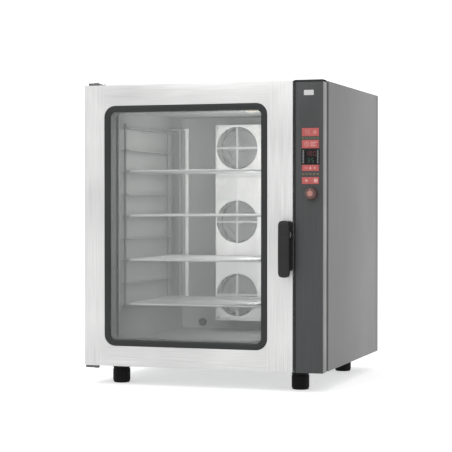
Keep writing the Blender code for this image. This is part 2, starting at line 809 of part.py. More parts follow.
def door_handle():
    """Lever that hangs from its hub and turns the latch."""
    x, z = across(HANDLE_PIVOT[0]), up(HANDLE_PIVOT[1])
    top, bottom = HANDLE_Z[1], HANDLE_Z[0]
    middle = (x, up((top + bottom) / 2))
    outline = rounded_rectangle(middle, (HANDLE_WIDTH, top - bottom), 0.020)
    lever = plate("door_handle", outline, [], "Y", deep(-0.0512), deep(-0.030), "black_plastic")
    round_edges(lever, 0.004)
    hub = round_cutters("handle_hub", [("Y", (x, z), HANDLE_HUB_RADIUS, deep(-0.034), deep(-0.013))], 24)
    combine(lever, hub, "UNION")
    bore = round_cutters("handle_bore", [("Y", (x, z), SPINDLE_RADIUS + GAP, deep(-0.06), deep(0))], 16)
    combine(lever, bore, "DIFFERENCE")
    return round_shading(lever)


def handle_spindle():
    """Rod from the lever through the door to the latch hook."""
    profile = [
        (deep(-HANDLE_REACH), SPINDLE_RADIUS - 0.001),
        (deep(-0.051), SPINDLE_RADIUS),
        (deep(0.068), SPINDLE_RADIUS),
    ]
    centre = (across(HANDLE_PIVOT[0]), up(HANDLE_PIVOT[1]))
    return turned("handle_spindle", profile, centre, "Y", "zinc_steel", 16)


def latch_hook():
    """Hook on the spindle behind the door. Its nose lies beside the keeper."""
    x, z = across(HANDLE_PIVOT[0]), up(HANDLE_PIVOT[1])
    hub = arc((x, z), 0.013, -30, 210, 12)
    arm = [(x - 0.008, z - 0.050), (x + 0.006, z - 0.050), (x + 0.006, z - 0.036), (x + 0.004, z - 0.030)]
    bore = circle((x, z), SPINDLE_RADIUS + GAP, 16)
    return plate("latch_hook", hub + arm, [bore], "Y", deep(0.056), deep(0.064), "zinc_steel")


def latch_keeper():
    """Keeper stud with a round head and a base on the front plate."""
    place = (across(0.812), up(0.456))
    profile = [
        (deep(0.055), 0.0030),
        (deep(0.057), 0.0050),
        (deep(0.066), 0.0050),
        (deep(0.066), 0.0035),
        (deep(0.076), 0.0035),
        (deep(0.076), 0.0070),
        (deep(CABINET_FRONT - GAP), 0.0070),
    ]
    return turned("latch_keeper", profile, place, "Y", "zinc_steel", 16)


# ---- Control column
def control_housing():
    """Steel column beside the door, with a narrower neck back to the cabinet."""
    column = span((CONTROL_LEFT, WIDTH), (FASCIA + GAP, DOOR_THICKNESS), (0, BODY_HEIGHT))
    sill = span((CONTROL_LEFT, WIDTH), (0, 0.01), (BODY_HEIGHT - CONTROL_SILL, BODY_HEIGHT))
    neck = span((0.832, 0.922), (0.050, CABINET_FRONT - GAP), (0.010, BODY_HEIGHT - 0.010))
    hollow = span(
        (CONTROL_LEFT + SHEET, WIDTH - SHEET),
        (0, DOOR_THICKNESS - SHEET),
        (SHEET, BODY_HEIGHT - CONTROL_SILL - SHEET),
    )
    duct = span((0.834, 0.920), (0.040, 1), (0.012, BODY_HEIGHT - 0.012))
    return box_solid("control_housing", [column, sill, neck], "brushed_steel", [hollow, duct])


def control_fascia():
    """Dark front plate with openings for the keys, the display and the knob."""
    high = BODY_HEIGHT - CONTROL_SILL - GAP
    outline = rectangle((across(CONTROL_LEFT), across(WIDTH)), (up(0), up(high)))
    holes = []
    for xs, zs in (*KEYS.values(), DISPLAY):
        around = [grow(limits, 0.0005) for limits in (xs, zs)]
        holes.append([(across(u), up(v)) for u, v in rectangle(*around)])
    holes.append(circle((across(KNOB_CENTRE[0]), up(KNOB_CENTRE[1])), 0.0045, 16))
    return plate("control_fascia", outline, holes, "Y", deep(0), deep(FASCIA), "fascia_grey")


def display_window():
    xs, zs = DISPLAY
    centre = (across(sum(xs) / 2), up(sum(zs) / 2))
    outline = rounded_rectangle(centre, (xs[1] - xs[0], zs[1] - zs[0]), 0.003, 2)
    return plate("display_window", outline, [], "Y", deep(0.0003), deep(0.0045), "display_black")


def push_key(name, xs, zs):
    """Key with a flange behind the fascia that keeps it in its opening."""
    front, rear = -KEY_PROUD, FASCIA + GAP
    cap = span(xs, (front, rear + 0.001), zs)
    flange = span(grow(xs, 0.0025), (rear, rear + 0.0012), grow(zs, 0.0012))
    return box_solid(name, [cap, flange], "key_red")


def control_knob():
    """Turned knob with a waisted rim, on its own shaft."""
    centre = (across(KNOB_CENTRE[0]), up(KNOB_CENTRE[1]))
    profile = [
        (deep(-KNOB_LENGTH - 0.001), KNOB_RADIUS - 0.005),
        (deep(-KNOB_LENGTH), KNOB_RADIUS - 0.003),
        (deep(-0.014), KNOB_RADIUS - 0.001),
        (deep(-0.006), KNOB_RADIUS),
        (deep(-0.001), KNOB_RADIUS),
        (deep(-0.001), 0.004),
        (deep(0.0115), 0.004),
    ]
    return turned("control_knob", profile, centre, "Y", "knob_brown", 24)


def control_board():
    """Circuit board with the encoder, the switches and the display module on it."""
    board = span((0.838, 0.918), (0.0135, 0.0155), (0.610, 0.900))
    blocks = [board, span((0.878, 0.897), (0.0118, 0.020), (0.640, 0.658))]
    for xs, zs in KEYS.values():
        level = sum(zs) / 2
        for middle in (xs[0] + 0.015, xs[1] - 0.015):
            switch = (grow((middle, middle), 0.003), (0.0075, 0.015), grow((level, level), 0.003))
            blocks.append(span(*switch))
    xs, zs = DISPLAY
    blocks.append(span(grow(xs, -0.004), (0.0060, 0.015), grow(zs, -0.004)))
    blocks.append(span((0.845, 0.870), (0.0150, 0.030), (0.640, 0.700)))
    return box_solid("control_board", blocks, "board_green")


# ---- Services
def exhaust_flue():
    """Steam outlet pipe from the chamber roof through the lid, with holes for the damper's axle."""
    centre = (across(FLUE_CENTRE[0]), deep(FLUE_CENTRE[1]))
    low, high = up(CAVITY_Z[1] + SHEET + GAP), up(BODY_HEIGHT + 0.042)
    pipe = tube("exhaust_flue", centre, FLUE_RADIUS - SHEET, FLUE_RADIUS, "Z", low, high, "zinc_steel")
    hole = ("X", (centre[1], up(DAMPER_LEVEL)), 0.0026, centre[0] - 0.04, centre[0] + 0.04)
    return combine(pipe, round_cutters("axle_hole", [hole], 12), "DIFFERENCE")


def flue_damper():
    """Round flap on an axle across the flue, with a crank arm outside."""
    x, y, z = across(FLUE_CENTRE[0]), deep(FLUE_CENTRE[1]), up(DAMPER_LEVEL)
    flap = turned("flue_damper", [(z - 0.001, 0.0215), (z + 0.001, 0.0215)], (x, y), "Z", "zinc_steel", 28)
    axle = bmesh.new()
    add_turned(axle, [(x - 0.029, 0.0021), (x + 0.036, 0.0021)], (y, z), "X", 12)
    combine(flap, add_object("damper_axle", axle), "UNION")
    arm = ((x + 0.031, x + 0.034), (y - 0.004, y + 0.004), (z - 0.004, z + 0.018))
    return combine(flap, box_solid("damper_crank", [arm], None), "UNION")


def drain_pipe():
    centre = (across(DRAIN_CENTRE[0]), up(DRAIN_CENTRE[1]))
    profile = [
        (deep(CAVITY_REAR + SHEET + GAP), 0.0175),
        (deep(CAVITY_REAR + SHEET + GAP), 0.0200),
        (deep(BODY_DEPTH + SERVICE_REACH), 0.0200),
        (deep(BODY_DEPTH + SERVICE_REACH), 0.0175),
    ]
    return turned("drain_pipe", profile, centre, "Y", "zinc_steel", 20, ring=True)


def water_inlet():
    """Solenoid valve inside the rear cover with a threaded inlet tail outside."""
    x, z = across(INLET_CENTRE[0]), up(INLET_CENTRE[1])
    tail = [(deep(0.880), 0.014), (deep(0.908), 0.014), (deep(0.908), 0.010), (deep(0.926), 0.010)]
    valve = turned("water_inlet", tail, (x, z), "Y", "brass", 16)
    body = ((x - 0.020, x + 0.020), (deep(0.840), deep(0.890)), (z - 0.018, z + 0.040))
    return combine(valve, box_solid("valve_body", [body], None), "UNION")


def cable_gland():
    """Supply cable gland in the rear cover, with its lock nut inside."""
    centre = (across(GLAND_CENTRE[0]), up(GLAND_CENTRE[1]))
    bore = 0.008
    profile = [
        (deep(0.888), bore),
        (deep(0.888), 0.018),
        (deep(0.896), 0.018),
        (deep(0.896), 0.013),
        (deep(BODY_DEPTH + GAP), 0.013),
        (deep(BODY_DEPTH + GAP), 0.017),
        (deep(0.914), 0.017),
        (deep(0.924), 0.012),
        (deep(0.924), bore),
    ]
    return turned("cable_gland", profile, centre, "Y", "black_plastic", 16, ring=True)


def cavity_lamp():
    """Oven lamp in the chamber roof, with a glass cap below."""
    centre = (across(LAMP_CENTRE[0]), deep(LAMP_CENTRE[1]))
    profile = [
        (up(0.958), 0.018),
        (up(0.962), 0.026),
        (up(0.974), 0.0290),
        (up(1.000), 0.0290),
        (up(1.010), 0.016),
        (up(1.028), 0.016),
    ]
    return turned("cavity_lamp", profile, centre, "Z", "lamp_glass", 16)


# ---- Assembly
def build_cabinet():
    base_frame()
    side_panel("side_panel_left", 0, 1)
    side_panel("side_panel_right", WIDTH, -1)
    top_cover()
    rear_cover()
    front_frame()
    cavity_liner()
    insulation_jacket()
    door_gasket()
    fan_baffle()
    tray_rack("tray_rack_left", 1)
    tray_rack("tray_rack_right", -1)
    hinge_plate("hinge_plate_top", BODY_HEIGHT + GAP, BODY_HEIGHT + 0.0083, (0.014, 0.053))
    hinge_plate("hinge_plate_bottom", -0.0083, -GAP, (0, 0.051))
    hinge_pin("hinge_pin_top", BODY_HEIGHT - 0.030, BODY_HEIGHT + 0.0086, BODY_HEIGHT + 0.0116)
    hinge_pin("hinge_pin_bottom", 0.030, -0.0086, -0.0116)
    latch_keeper()
    control_housing()
    control_fascia()
    display_window()
    control_board()
    exhaust_flue()
    drain_pipe()
    water_inlet()
    cable_gland()
    cavity_lamp()


def build_feet():
    for name, place in FOOT_PLACES.items():
        centre = Vector((across(place[0]), deep(place[1]), 0))
        carry(pivot(name + "_axis", centre), [foot(name, place)])


def build_fans():
    for place, level in FAN_LEVELS.items():
        centre = Vector((across(FAN_CENTRE_X), deep(0.700), up(level)))
        carry(pivot("fan_axis_" + place, centre), [fan_wheel("fan_wheel_" + place, level)])
        heater_ring("heater_ring_" + place, level)
        fan_motor("fan_motor_" + place, level)


def build_shelves():
    for number, level in enumerate(SHELF_LEVELS, 1):
        centre = Vector((across(CAVITY_CENTRE), deep(SHELF_Y[0]), up(level)))
        carry(pivot("shelf_slide_%d" % number, centre), [wire_shelf("wire_shelf_%d" % number, level)])


def build_door():
    door_axis = pivot("door_hinge_axis", Vector((across(HINGE[0]), deep(HINGE[1]), up(0))))
    inner_centre = (across(CAVITY_CENTRE), up(sum(CAVITY_Z) / 2))
    glass_size = [side - 0.002 for side in WINDOW_SIZE]
    top, bottom = BODY_HEIGHT, 0
    carry(
        door_axis,
        [
            door_frame(),
            door_rear_frame(),
            window_trim(),
            pane("outer_glass", window_centre(), glass_size, WINDOW_RADIUS - 0.001, OUTER_GLASS),
            pane("inner_glass", inner_centre, INNER_GLASS_SIZE, 0.020, INNER_GLASS),
            hinge_bush("hinge_bush_top", top - 0.028, top - DOOR_EDGE_GAP + GAP, top),
            hinge_bush("hinge_bush_bottom", bottom + 0.028, bottom + DOOR_EDGE_GAP - GAP, bottom),
            handle_base(),
        ],
    )
    handle_point = Vector((across(HANDLE_PIVOT[0]), deep(0), up(HANDLE_PIVOT[1])))
    handle_axis = pivot("handle_axis", handle_point)
    carry(handle_axis, [door_handle(), handle_spindle(), latch_hook()])
    carry(door_axis, [handle_axis])


def build_controls():
    for name, (xs, zs) in KEYS.items():
        centre = Vector((across(sum(xs) / 2), deep(0), up(sum(zs) / 2)))
        carry(pivot(name + "_travel", centre), [push_key(name, xs, zs)])
    knob_point = Vector((across(KNOB_CENTRE[0]), deep(0), up(KNOB_CENTRE[1])))
    carry(pivot("knob_axis", knob_point), [control_knob()])


def build_damper():
    axle = Vector((across(FLUE_CENTRE[0]), deep(FLUE_CENTRE[1]), up(DAMPER_LEVEL)))
    carry(pivot("damper_axis", axle), [flue_damper()])


clear_scene()
build_cabinet()
build_feet()
build_fans()
build_shelves()
build_door()
build_controls()
build_damper()
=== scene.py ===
"""Visual model of the combi steamer oven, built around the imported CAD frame, in metres."""

import json
import math

import bmesh
import bpy
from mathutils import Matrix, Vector


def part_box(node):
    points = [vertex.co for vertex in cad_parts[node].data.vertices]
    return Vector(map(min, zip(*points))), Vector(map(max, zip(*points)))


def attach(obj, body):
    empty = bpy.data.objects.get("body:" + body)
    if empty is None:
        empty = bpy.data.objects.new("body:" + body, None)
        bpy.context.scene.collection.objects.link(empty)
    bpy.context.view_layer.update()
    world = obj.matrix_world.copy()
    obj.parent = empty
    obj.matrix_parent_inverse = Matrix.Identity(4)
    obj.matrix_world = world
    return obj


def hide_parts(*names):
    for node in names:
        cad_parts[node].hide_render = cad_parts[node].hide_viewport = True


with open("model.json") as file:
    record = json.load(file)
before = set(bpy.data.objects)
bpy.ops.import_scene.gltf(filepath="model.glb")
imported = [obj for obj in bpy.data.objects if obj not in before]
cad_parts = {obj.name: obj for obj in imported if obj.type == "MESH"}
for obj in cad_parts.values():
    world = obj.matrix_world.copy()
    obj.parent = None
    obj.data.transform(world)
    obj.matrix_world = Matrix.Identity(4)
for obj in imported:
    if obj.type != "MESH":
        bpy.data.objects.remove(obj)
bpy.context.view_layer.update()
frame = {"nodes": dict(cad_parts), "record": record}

RECORD = frame["record"]
BODY_OF = {
    node: body for body, members in RECORD["behaviour"]["bodies"].items() for node in members
}

DOOR_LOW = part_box("door_frame")[0]
FASCIA_LOW, FASCIA_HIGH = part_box("control_fascia")
TRIM_LOW, TRIM_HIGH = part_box("window_trim")
LINER_LOW, LINER_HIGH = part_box("cavity_liner")
LID_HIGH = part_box("top_cover")[1]
REAR_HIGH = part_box("rear_cover")[1]
ORIGIN = Vector((DOOR_LOW.x, DOOR_LOW.y, FASCIA_LOW.z))

NECK_FRONT = 0.0536
POST_INSET = 0.066
INTAKE_RADIUS = 0.0872
INTAKE_SHADE = 0.34
GUARD_STEP = 0.0063
GUARD_RINGS = 13
GUARD_SPOKES = 8
BLADES = 28
CAMERA_PLACE = (1.8538, -5.7495, 0.6908)
CAMERA_TILT = math.radians(89.093)
CAMERA_TURN = math.radians(18.28966)
CAMERA_LENS = 121.46
CAMERA_SENSOR = 36.0


# ---- Places
def at(x, y, z):
    """A point from its distances across, deep and up the body, from the door's lower left corner."""
    return ORIGIN + Vector((x, y, z))


def middle(node):
    low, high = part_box(node)
    return (low + high) / 2


# ---- Materials
def add_node(tree, kind, **values):
    item = tree.nodes.new(kind)
    for name, value in values.items():
        item.inputs[name].default_value = value
    return item


def noise(tree, coords, stretch, detail=3.0, roughness=0.55):
    mapping = add_node(tree, "ShaderNodeMapping", Scale=stretch)
    field = add_node(tree, "ShaderNodeTexNoise", Scale=1.0, Detail=detail, Roughness=roughness)
    tree.links.new(coords, mapping.inputs["Vector"])
    tree.links.new(mapping.outputs["Vector"], field.inputs["Vector"])
    return field.outputs["Fac"]


def maths(tree, operation, first, second, third=None):
    item = tree.nodes.new("ShaderNodeMath")
    item.operation = operation
    for socket, value in zip(item.inputs, (first, second, third)):
        if value is None:
            continue
        if isinstance(value, (int, float)):
            socket.default_value = value
        else:
            tree.links.new(value, socket)
    return item.outputs[0]


def spread(tree, value, low, high, start=0.3, stop=0.7):
    """The value moved from the range start-stop to the range low-high."""
    item = add_node(
        tree,
        "ShaderNodeMapRange",
        **{"From Min": start, "From Max": stop, "To Min": low, "To Max": high},
    )
    tree.links.new(value, item.inputs["Value"])
    return item.outputs["Result"]


def surface(
    name,
    dark,
    light,
    roughness,
    metallic=0.0,
    grain=(400, 400, 400),
    patch=6.0,
    patch_share=0.4,
    bump=0.1,
    depth=0.0002,
    rough_spread=0.06,
    rails=None,
    specular=0.5,
    glow=0.0,
):
    """A Principled material whose colour, roughness and relief come from a stretched grain and
    broad patches. Rails is a range of X where the grain runs across instead of up."""
    material = bpy.data.materials.new(name)
    material.use_nodes = True
    tree = material.node_tree
    shader = tree.nodes["Principled BSDF"]
    coords = tree.nodes.new("ShaderNodeTexCoord").outputs["Object"]
    fine = noise(tree, coords, grain)
    if rails:
        split = tree.nodes.new("ShaderNodeSeparateXYZ")
        tree.links.new(coords, split.inputs[0])
        inside = maths(tree, "COMPARE", split.outputs["X"], sum(rails) / 2, (rails[1] - rails[0]) / 2)
        crossed = noise(tree, coords, (grain[2], grain[1], grain[0]))
        blend = maths(tree, "MULTIPLY", maths(tree, "SUBTRACT", crossed, fine), inside)
        fine = maths(tree, "ADD", fine, blend)
    broad = noise(tree, coords, (patch, patch, patch), 2.0)
    mixed = maths(tree, "MULTIPLY", broad, patch_share)
    mixed = maths(tree, "MULTIPLY_ADD", fine, 1 - patch_share, mixed)
    ramp = tree.nodes.new("ShaderNodeValToRGB")
    ramp.color_ramp.elements[0].position = 0.36
    ramp.color_ramp.elements[0].color = (*dark, 1)
    ramp.color_ramp.elements[1].position = 0.64
    ramp.color_ramp.elements[1].color = (*light, 1)
    tree.links.new(mixed, ramp.inputs["Fac"])
    tree.links.new(ramp.outputs["Color"], shader.inputs["Base Color"])
    rough = spread(tree, broad, roughness - rough_spread, roughness + rough_spread)
    tree.links.new(rough, shader.inputs["Roughness"])
    relief = add_node(tree, "ShaderNodeBump", Strength=bump, Distance=depth)
    tree.links.new(fine, relief.inputs["Height"])
    tree.links.new(relief.outputs["Normal"], shader.inputs["Normal"])
    shader.inputs["Metallic"].default_value = metallic
    shader.inputs["Specular IOR Level"].default_value = specular
    if glow:
        shader.inputs["Emission Color"].default_value = (1, 1, 1, 1)
        shader.inputs["Emission Strength"].default_value = glow
    return material


def shade_discs(material, centres, radius, share):
    """Painted shade of the round intakes facing -Y: a darker colour on the parts of a material that lie over
    them.
    """
    tree = material.node_tree
    shader = tree.nodes["Principled BSDF"]
    ramp = tree.nodes["Color Ramp"]
    flat = tree.nodes.new("ShaderNodeVectorMath")
    flat.operation = "MULTIPLY"
    flat.inputs[1].default_value = (1, 0, 1)
    tree.links.new(tree.nodes["Texture Coordinate"].outputs["Object"], flat.inputs[0])
    total = 0.0
    for centre in centres:
        reach = tree.nodes.new("ShaderNodeVectorMath")
        reach.operation = "DISTANCE"
        reach.inputs[1].default_value = (centre.x, 0, centre.z)
        tree.links.new(flat.outputs[0], reach.inputs[0])
        total = maths(tree, "ADD", maths(tree, "LESS_THAN", reach.outputs["Value"], radius), total)
    scale = tree.nodes.new("ShaderNodeVectorMath")
    scale.operation = "SCALE"
    tree.links.new(ramp.outputs["Color"], scale.inputs[0])
    tree.links.new(maths(tree, "MULTIPLY_ADD", total, -share, 1.0), scale.inputs["Scale"])
    tree.links.new(scale.outputs[0], shader.inputs["Base Color"])


def pane_material(name, tint, clear, glancing):
    """Toughened glass seen as a thin tinted sheet: clear face on, and less so at a slant."""
    material = surface(
        name, tint, [c * 1.08 for c in tint], 0.05, grain=(9, 9, 9), bump=0.0, rough_spread=0.02,
    )
    tree = material.node_tree
    fresnel = add_node(tree, "ShaderNodeFresnel", IOR=1.5)
    veil = spread(tree, fresnel.outputs["Fac"], clear, glancing, 0.04, 1.0)
    tree.links.new(veil, tree.nodes["Principled BSDF"].inputs["Alpha"])
    return material


def lit(name, colour, strength):
    material = surface(
        name, [c * 0.5 for c in colour], [c * 0.6 for c in colour], 0.4, grain=(300, 300, 300),
    )
    shader = material.node_tree.nodes["Principled BSDF"]
    shader.inputs["Emission Color"].default_value = (*colour, 1)
    shader.inputs["Emission Strength"].default_value = strength
    return material


UPRIGHT = (420, 420, 5)
ALONG = (5, 420, 420)
STEEL = dict(roughness=0.34, metallic=0.85, bump=0.12)
MATERIALS = {
    "door_steel": surface(
        "door_steel", (0.49, 0.49, 0.49), (0.65, 0.65, 0.645), grain=UPRIGHT,
        rails=(TRIM_LOW.x, TRIM_HIGH.x), patch=3.0, roughness=0.40, metallic=0.6, bump=0.12,
    ),
    "brushed_steel": surface(
        "brushed_steel", (0.52, 0.52, 0.52), (0.64, 0.64, 0.635), grain=UPRIGHT, **STEEL,
    ),
    "column_steel": surface(
        "column_steel", (0.135, 0.135, 0.138), (0.165, 0.165, 0.168), grain=UPRIGHT, **STEEL,
    ),
    "hinge_grey": surface(
        "hinge_grey", (0.085, 0.085, 0.088), (0.14, 0.14, 0.145), 0.5, 0.4, grain=(150, 150, 150), patch=30,
    ),
    "cabinet_steel": surface(
        "cabinet_steel", (0.168, 0.168, 0.170), (0.194, 0.194, 0.196), grain=UPRIGHT, patch=2.0,
        roughness=0.55, metallic=0.35, bump=0.07,
    ),
    "lid_steel": surface("lid_steel", (0.20, 0.20, 0.20), (0.26, 0.26, 0.26), grain=ALONG, **STEEL),
    "zinc_steel": surface(
        "zinc_steel", (
            0.36, 0.37, 0.38,
        ), (0.52, 0.53, 0.54), 0.42, 0.9, grain=(90, 90, 90), patch=30, depth=0.0004,
    ),
    "cavity_steel": surface(
        "cavity_steel", (0.33, 0.335, 0.33), (0.39, 0.395, 0.39), 0.55, 0.2, grain=ALONG, patch=4.0,
    ),
    # A lighter copy of the cavity steel: painted light on the liner's rear wall and roof.
    "cavity_painted_light": surface(
        "cavity_painted_light", (0.46, 0.465, 0.46), (0.52, 0.525, 0.52), 0.55, 0.15, grain=ALONG, patch=4.0,
    ),
    # A near-white copy of the chamber steel: painted highlight on the racks' stop posts.
    "post_painted_highlight": surface(
        "post_painted_highlight", (0.82, 0.82, 0.82), (0.92, 0.92, 0.92), 0.5, 0.1, grain=(60, 60, 60),
    ),
    "hood_steel": surface(
        "hood_steel", (0.72, 0.72, 0.715), (0.82, 0.82, 0.815), 0.5, 0.15, grain=UPRIGHT, patch=8.0,
    ),
    "guard_wire": surface(
        "guard_wire", (0.42, 0.42, 0.42), (0.52, 0.52, 0.52), 0.5, 0.2, grain=(60, 60, 60),
    ),
    "wire_steel": surface(
        "wire_steel", (0.52, 0.52, 0.52), (0.64, 0.64, 0.64), 0.45, 0.2, grain=(60, 60, 60),
    ),
    "black_plastic": surface(
        "black_plastic", (
            0.006, 0.006, 0.0065,
        ), (0.013, 0.013, 0.0135), 0.50, grain=(900, 900, 900), patch=25, bump=0.3,
        specular=0.30,
    ),
    "bezel": surface(
        "bezel", (0.012, 0.013, 0.0135), (0.019, 0.020, 0.0205), 0.42, grain=(300, 300, 300), patch=5,
        specular=0.30,
    ),
    "foot_black": surface(
        "foot_black", (
            0.0035, 0.0035, 0.0035,
        ), (0.007, 0.007, 0.007), 0.6, grain=(600, 600, 600), patch=25, bump=0.3,
        specular=0.12,
    ),
    "fascia_grey": surface(
        "fascia_grey", (
            0.040, 0.041, 0.042,
        ), (0.052, 0.053, 0.055), 0.46, 0.1, grain=(500, 500, 4), patch=4, bump=0.1,
        specular=0.32,
    ),
    "key_red": surface(
        "key_red", (0.30, 0.050, 0.048), (0.40, 0.082, 0.076), 0.5, grain=(500, 500, 500), patch=40,
    ),
    "key_mark": surface("key_mark", (0.46, 0.22, 0.21), (0.56, 0.31, 0.29), 0.5, grain=(700, 700, 700)),
    "knob_brown": surface(
        "knob_brown", (0.065, 0.030, 0.026), (0.10, 0.048, 0.042), 0.40, grain=(700, 700, 700),
    ),
    "knob_cap": surface("knob_cap", (0.28, 0.12, 0.10), (0.36, 0.16, 0.14), 0.35, grain=(400, 400, 400)),
    "display_black": surface(
        "display_black", (0.003, 0.003, 0.004), (0.007, 0.007, 0.008), 0.30, rough_spread=0.05,
        specular=0.15,
    ),
    "badge": surface("badge", (0.40, 0.40, 0.405), (0.54, 0.54, 0.54), 0.4, 0.5, grain=ALONG),
    "rubber": surface(
        "rubber", (0.018, 0.018, 0.018), (0.035, 0.034, 0.033), 0.72, grain=(500, 500, 500), bump=0.4,
    ),
    "insulation": surface(
        "insulation", (0.42, 0.38, 0.24), (0.72, 0.68, 0.50), 0.95, grain=(160, 160, 500), depth=0.003,
        bump=0.8,
    ),
    "heater": surface(
        "heater", (0.06, 0.05, 0.05), (0.20, 0.16, 0.14), 0.5, 0.8, grain=(120, 120, 120), patch=60,
    ),
    "aluminium": surface(
        "aluminium", (
            0.40, 0.41, 0.42,
        ), (0.54, 0.55, 0.56), 0.46, 0.7, grain=(260, 260, 260), patch=40, depth=0.0005, bump=0.3,
    ),
    "board_green": surface(
        "board_green", (0.02, 0.12, 0.05), (0.05, 0.22, 0.09), 0.45, grain=(120, 120, 900),
    ),
    "brass": surface("brass", (0.52, 0.37, 0.14), (0.68, 0.51, 0.24), 0.34, 0.95, grain=(100, 600, 100)),
    "glass": pane_material("glass", (0.30, 0.325, 0.318), 0.14, 0.80),
    "rear_glass": pane_material("rear_glass", (0.26, 0.28, 0.275), 0.10, 0.65),
    "lamp_glass": lit("lamp_glass", (1.0, 0.93, 0.80), 0.8),
    "digit_red": lit("digit_red", (0.16, 0.025, 0.025), 0.08),
    "digit_green": lit("digit_green", (0.012, 0.11, 0.05), 0.08),
    "bar_grey": surface("bar_grey", (0.10, 0.11, 0.11), (0.16, 0.17, 0.17), 0.5, grain=(300, 300, 300)),
    "lamp_amber": lit("lamp_amber", (0.20, 0.13, 0.06), 0.10),
    "lamp_olive": lit("lamp_olive", (0.10, 0.16, 0.06), 0.10),
}


# Painted shade on the fan hood over the three intakes.
shade_discs(
    MATERIALS["hood_steel"], [
        middle("fan_wheel_" + level) for level in ("bottom", "middle", "top")
    ], INTAKE_RADIUS, INTAKE_SHADE,
)


# ---- Pieces
def piece(name, shape, body, material, replaces=(), smooth=32):
    """A finished bmesh as an object that rides on a CAD body."""
    bmesh.ops.recalc_face_normals(shape, faces=shape.faces)
    mesh = bpy.data.meshes.new(name)
    shape.to_mesh(mesh)
    shape.free()
    mesh.shade_smooth()
    mesh.set_sharp_from_angle(angle=math.radians(smooth))
    mesh.materials.append(MATERIALS[material])
    item = bpy.data.objects.new(name, mesh)
    bpy.context.scene.collection.objects.link(item)
    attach(item, body)
    if replaces:
        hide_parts(*replaces)
    return item


def finish(node, material):
    """A better material on a CAD node that stays as it is."""
    for holder in frame["nodes"][node].material_slots:
        holder.link = "OBJECT"
        holder.material = MATERIALS[material]


def refine(node, width, material, segments=2, limit=32, suffix="_skin"):
    """A CAD node's own shape with softened edges, which stands for the node."""
    shape = bmesh.new()
    shape.from_mesh(frame["nodes"][node].data)
    bmesh.ops.remove_doubles(shape, verts=shape.verts, dist=0.00002)
    bmesh.ops.dissolve_limit(
        shape, angle_limit=math.radians(0.6), verts=shape.verts, edges=shape.edges
    )
    edges = [
        edge for edge in shape.edges if edge.is_manifold and edge.calc_face_angle(0) > math.radians(limit)
    ]
    bmesh.ops.bevel(
        shape, geom=edges, offset=width, offset_type="OFFSET", segments=segments, profile=0.5,
        affect="EDGES", clamp_overlap=True,
    )
    return piece(node + suffix, shape, BODY_OF[node], material, [node])


def paint(item, material, chosen):
    """A second material on the faces of a piece that a test picks."""
    item.data.materials.append(MATERIALS[material])
    for face in item.data.polygons:
        face.material_index = int(chosen(face))


def rounded(centre, size, radius, steps=8):
    """Corner points (x, z) of a rounded rectangle."""
    points = []
    for sign_x, sign_z, start in ((1, 1, 0), (-1, 1, 90), (-1, -1, 180), (1, -1, 270)):
        for step in range(steps + 1):
            turn = math.radians(start + 90 * step / steps)
            points.append(
                (
                    centre[0] + sign_x * (size[0] / 2 - radius) + radius * math.cos(turn),
                    centre[1] + sign_z * (size[1] / 2 - radius) + radius * math.sin(turn),
                )
            )
    return points


def bridge(shape, rows, closed_rows=True, closed_across=True):
    """Quads between rows of vertices."""
    pairs = list(zip(rows, rows[1:]))
    if closed_rows:
        pairs.append((rows[-1], rows[0]))
    for first, second in pairs:
        count = len(first)
        for i in range(count if closed_across else count - 1):
            j = (i + 1) % count
            shape.faces.new((first[i], first[j], second[j], second[i]))


def add_band(shape, centre, size, radius, profile, steps=8):
    """A frame round an opening. The profile is (inset, y) pairs, closed on itself."""
    rows = []
    for inset, y in profile:
        points = rounded(
            centre, (size[0] - 2 * inset, size[1] - 2 * inset), max(radius - inset, 0.002), steps,
        )
        rows.append([shape.verts.new((x, y, z)) for x, z in points])
    bridge(shape, rows)


def add_slab(shape, points, low, high, edge=0.0):
    """A flat piece facing -Y from an (x, z) outline, with its front edge softened."""
    middle_x = sum(p[0] for p in points) / len(points)
    middle_z = sum(p[1] for p in points) / len(points)

    def row(y, shrink):
        return [
            shape.verts.new(
                (
                    x - math.copysign(min(shrink, abs(x - middle_x)), x - middle_x),
                    y,
                    z - math.copysign(min(shrink, abs(z - middle_z)), z - middle_z),
                )
            )
            for x, z in points
        ]

    rows = [row(high, 0.0), row(low + edge, 0.0)]
    if edge:
        rows.append(row(low, edge))
    bridge(shape, rows, closed_rows=False)
    shape.faces.new(rows[0])
    shape.faces.new(rows[-1])


def add_turned(shape, profile, centre, axis, sides=32, ring=False, flutes=0, flute_depth=0.0):
    """A turned solid. The profile is (place along the axis, radius) pairs."""
    rows = []
    for along, radius in profile:
        row = []
        for i in range(sides):
            turn = 2 * math.pi * i / sides
            reach = radius - flute_depth * (0.5 + 0.5 * math.cos(flutes * turn)) if flutes else radius
            u, v = reach * math.cos(turn), reach * math.sin(turn)
            spot = {"X": (along, u, v), "Y": (u, along, v), "Z": (u, v, along)}[axis]
            row.append(shape.verts.new(centre + Vector(spot)))
        rows.append(row)
    bridge(shape, rows, closed_rows=ring)
    if not ring:
        shape.faces.new(rows[0])
        shape.faces.new(rows[-1])


def add_rod(shape, points, radius, sides=8, closed=False):
    """A round wire along points."""
    count = len(points)
    rows = []
    normal = None
    for i, point in enumerate(points):
        before = points[i - 1] if closed or i else point
        after = points[(i + 1) % count] if closed or i < count - 1 else point
        tangent = (after - before).normalized()
        if normal is None:
            normal = tangent.orthogonal().normalized()
        normal = (normal - tangent * normal.dot(tangent)).normalized()
        side = tangent.cross(normal)
        row = []
        for j in range(sides):
            turn = 2 * math.pi * j / sides
            row.append(shape.verts.new(point + radius * (math.cos(turn) * normal + math.sin(turn) * side)))
        rows.append(row)
    bridge(shape, rows, closed_rows=closed)
    if not closed:
        shape.faces.new(rows[0])
        shape.faces.new(rows[-1])


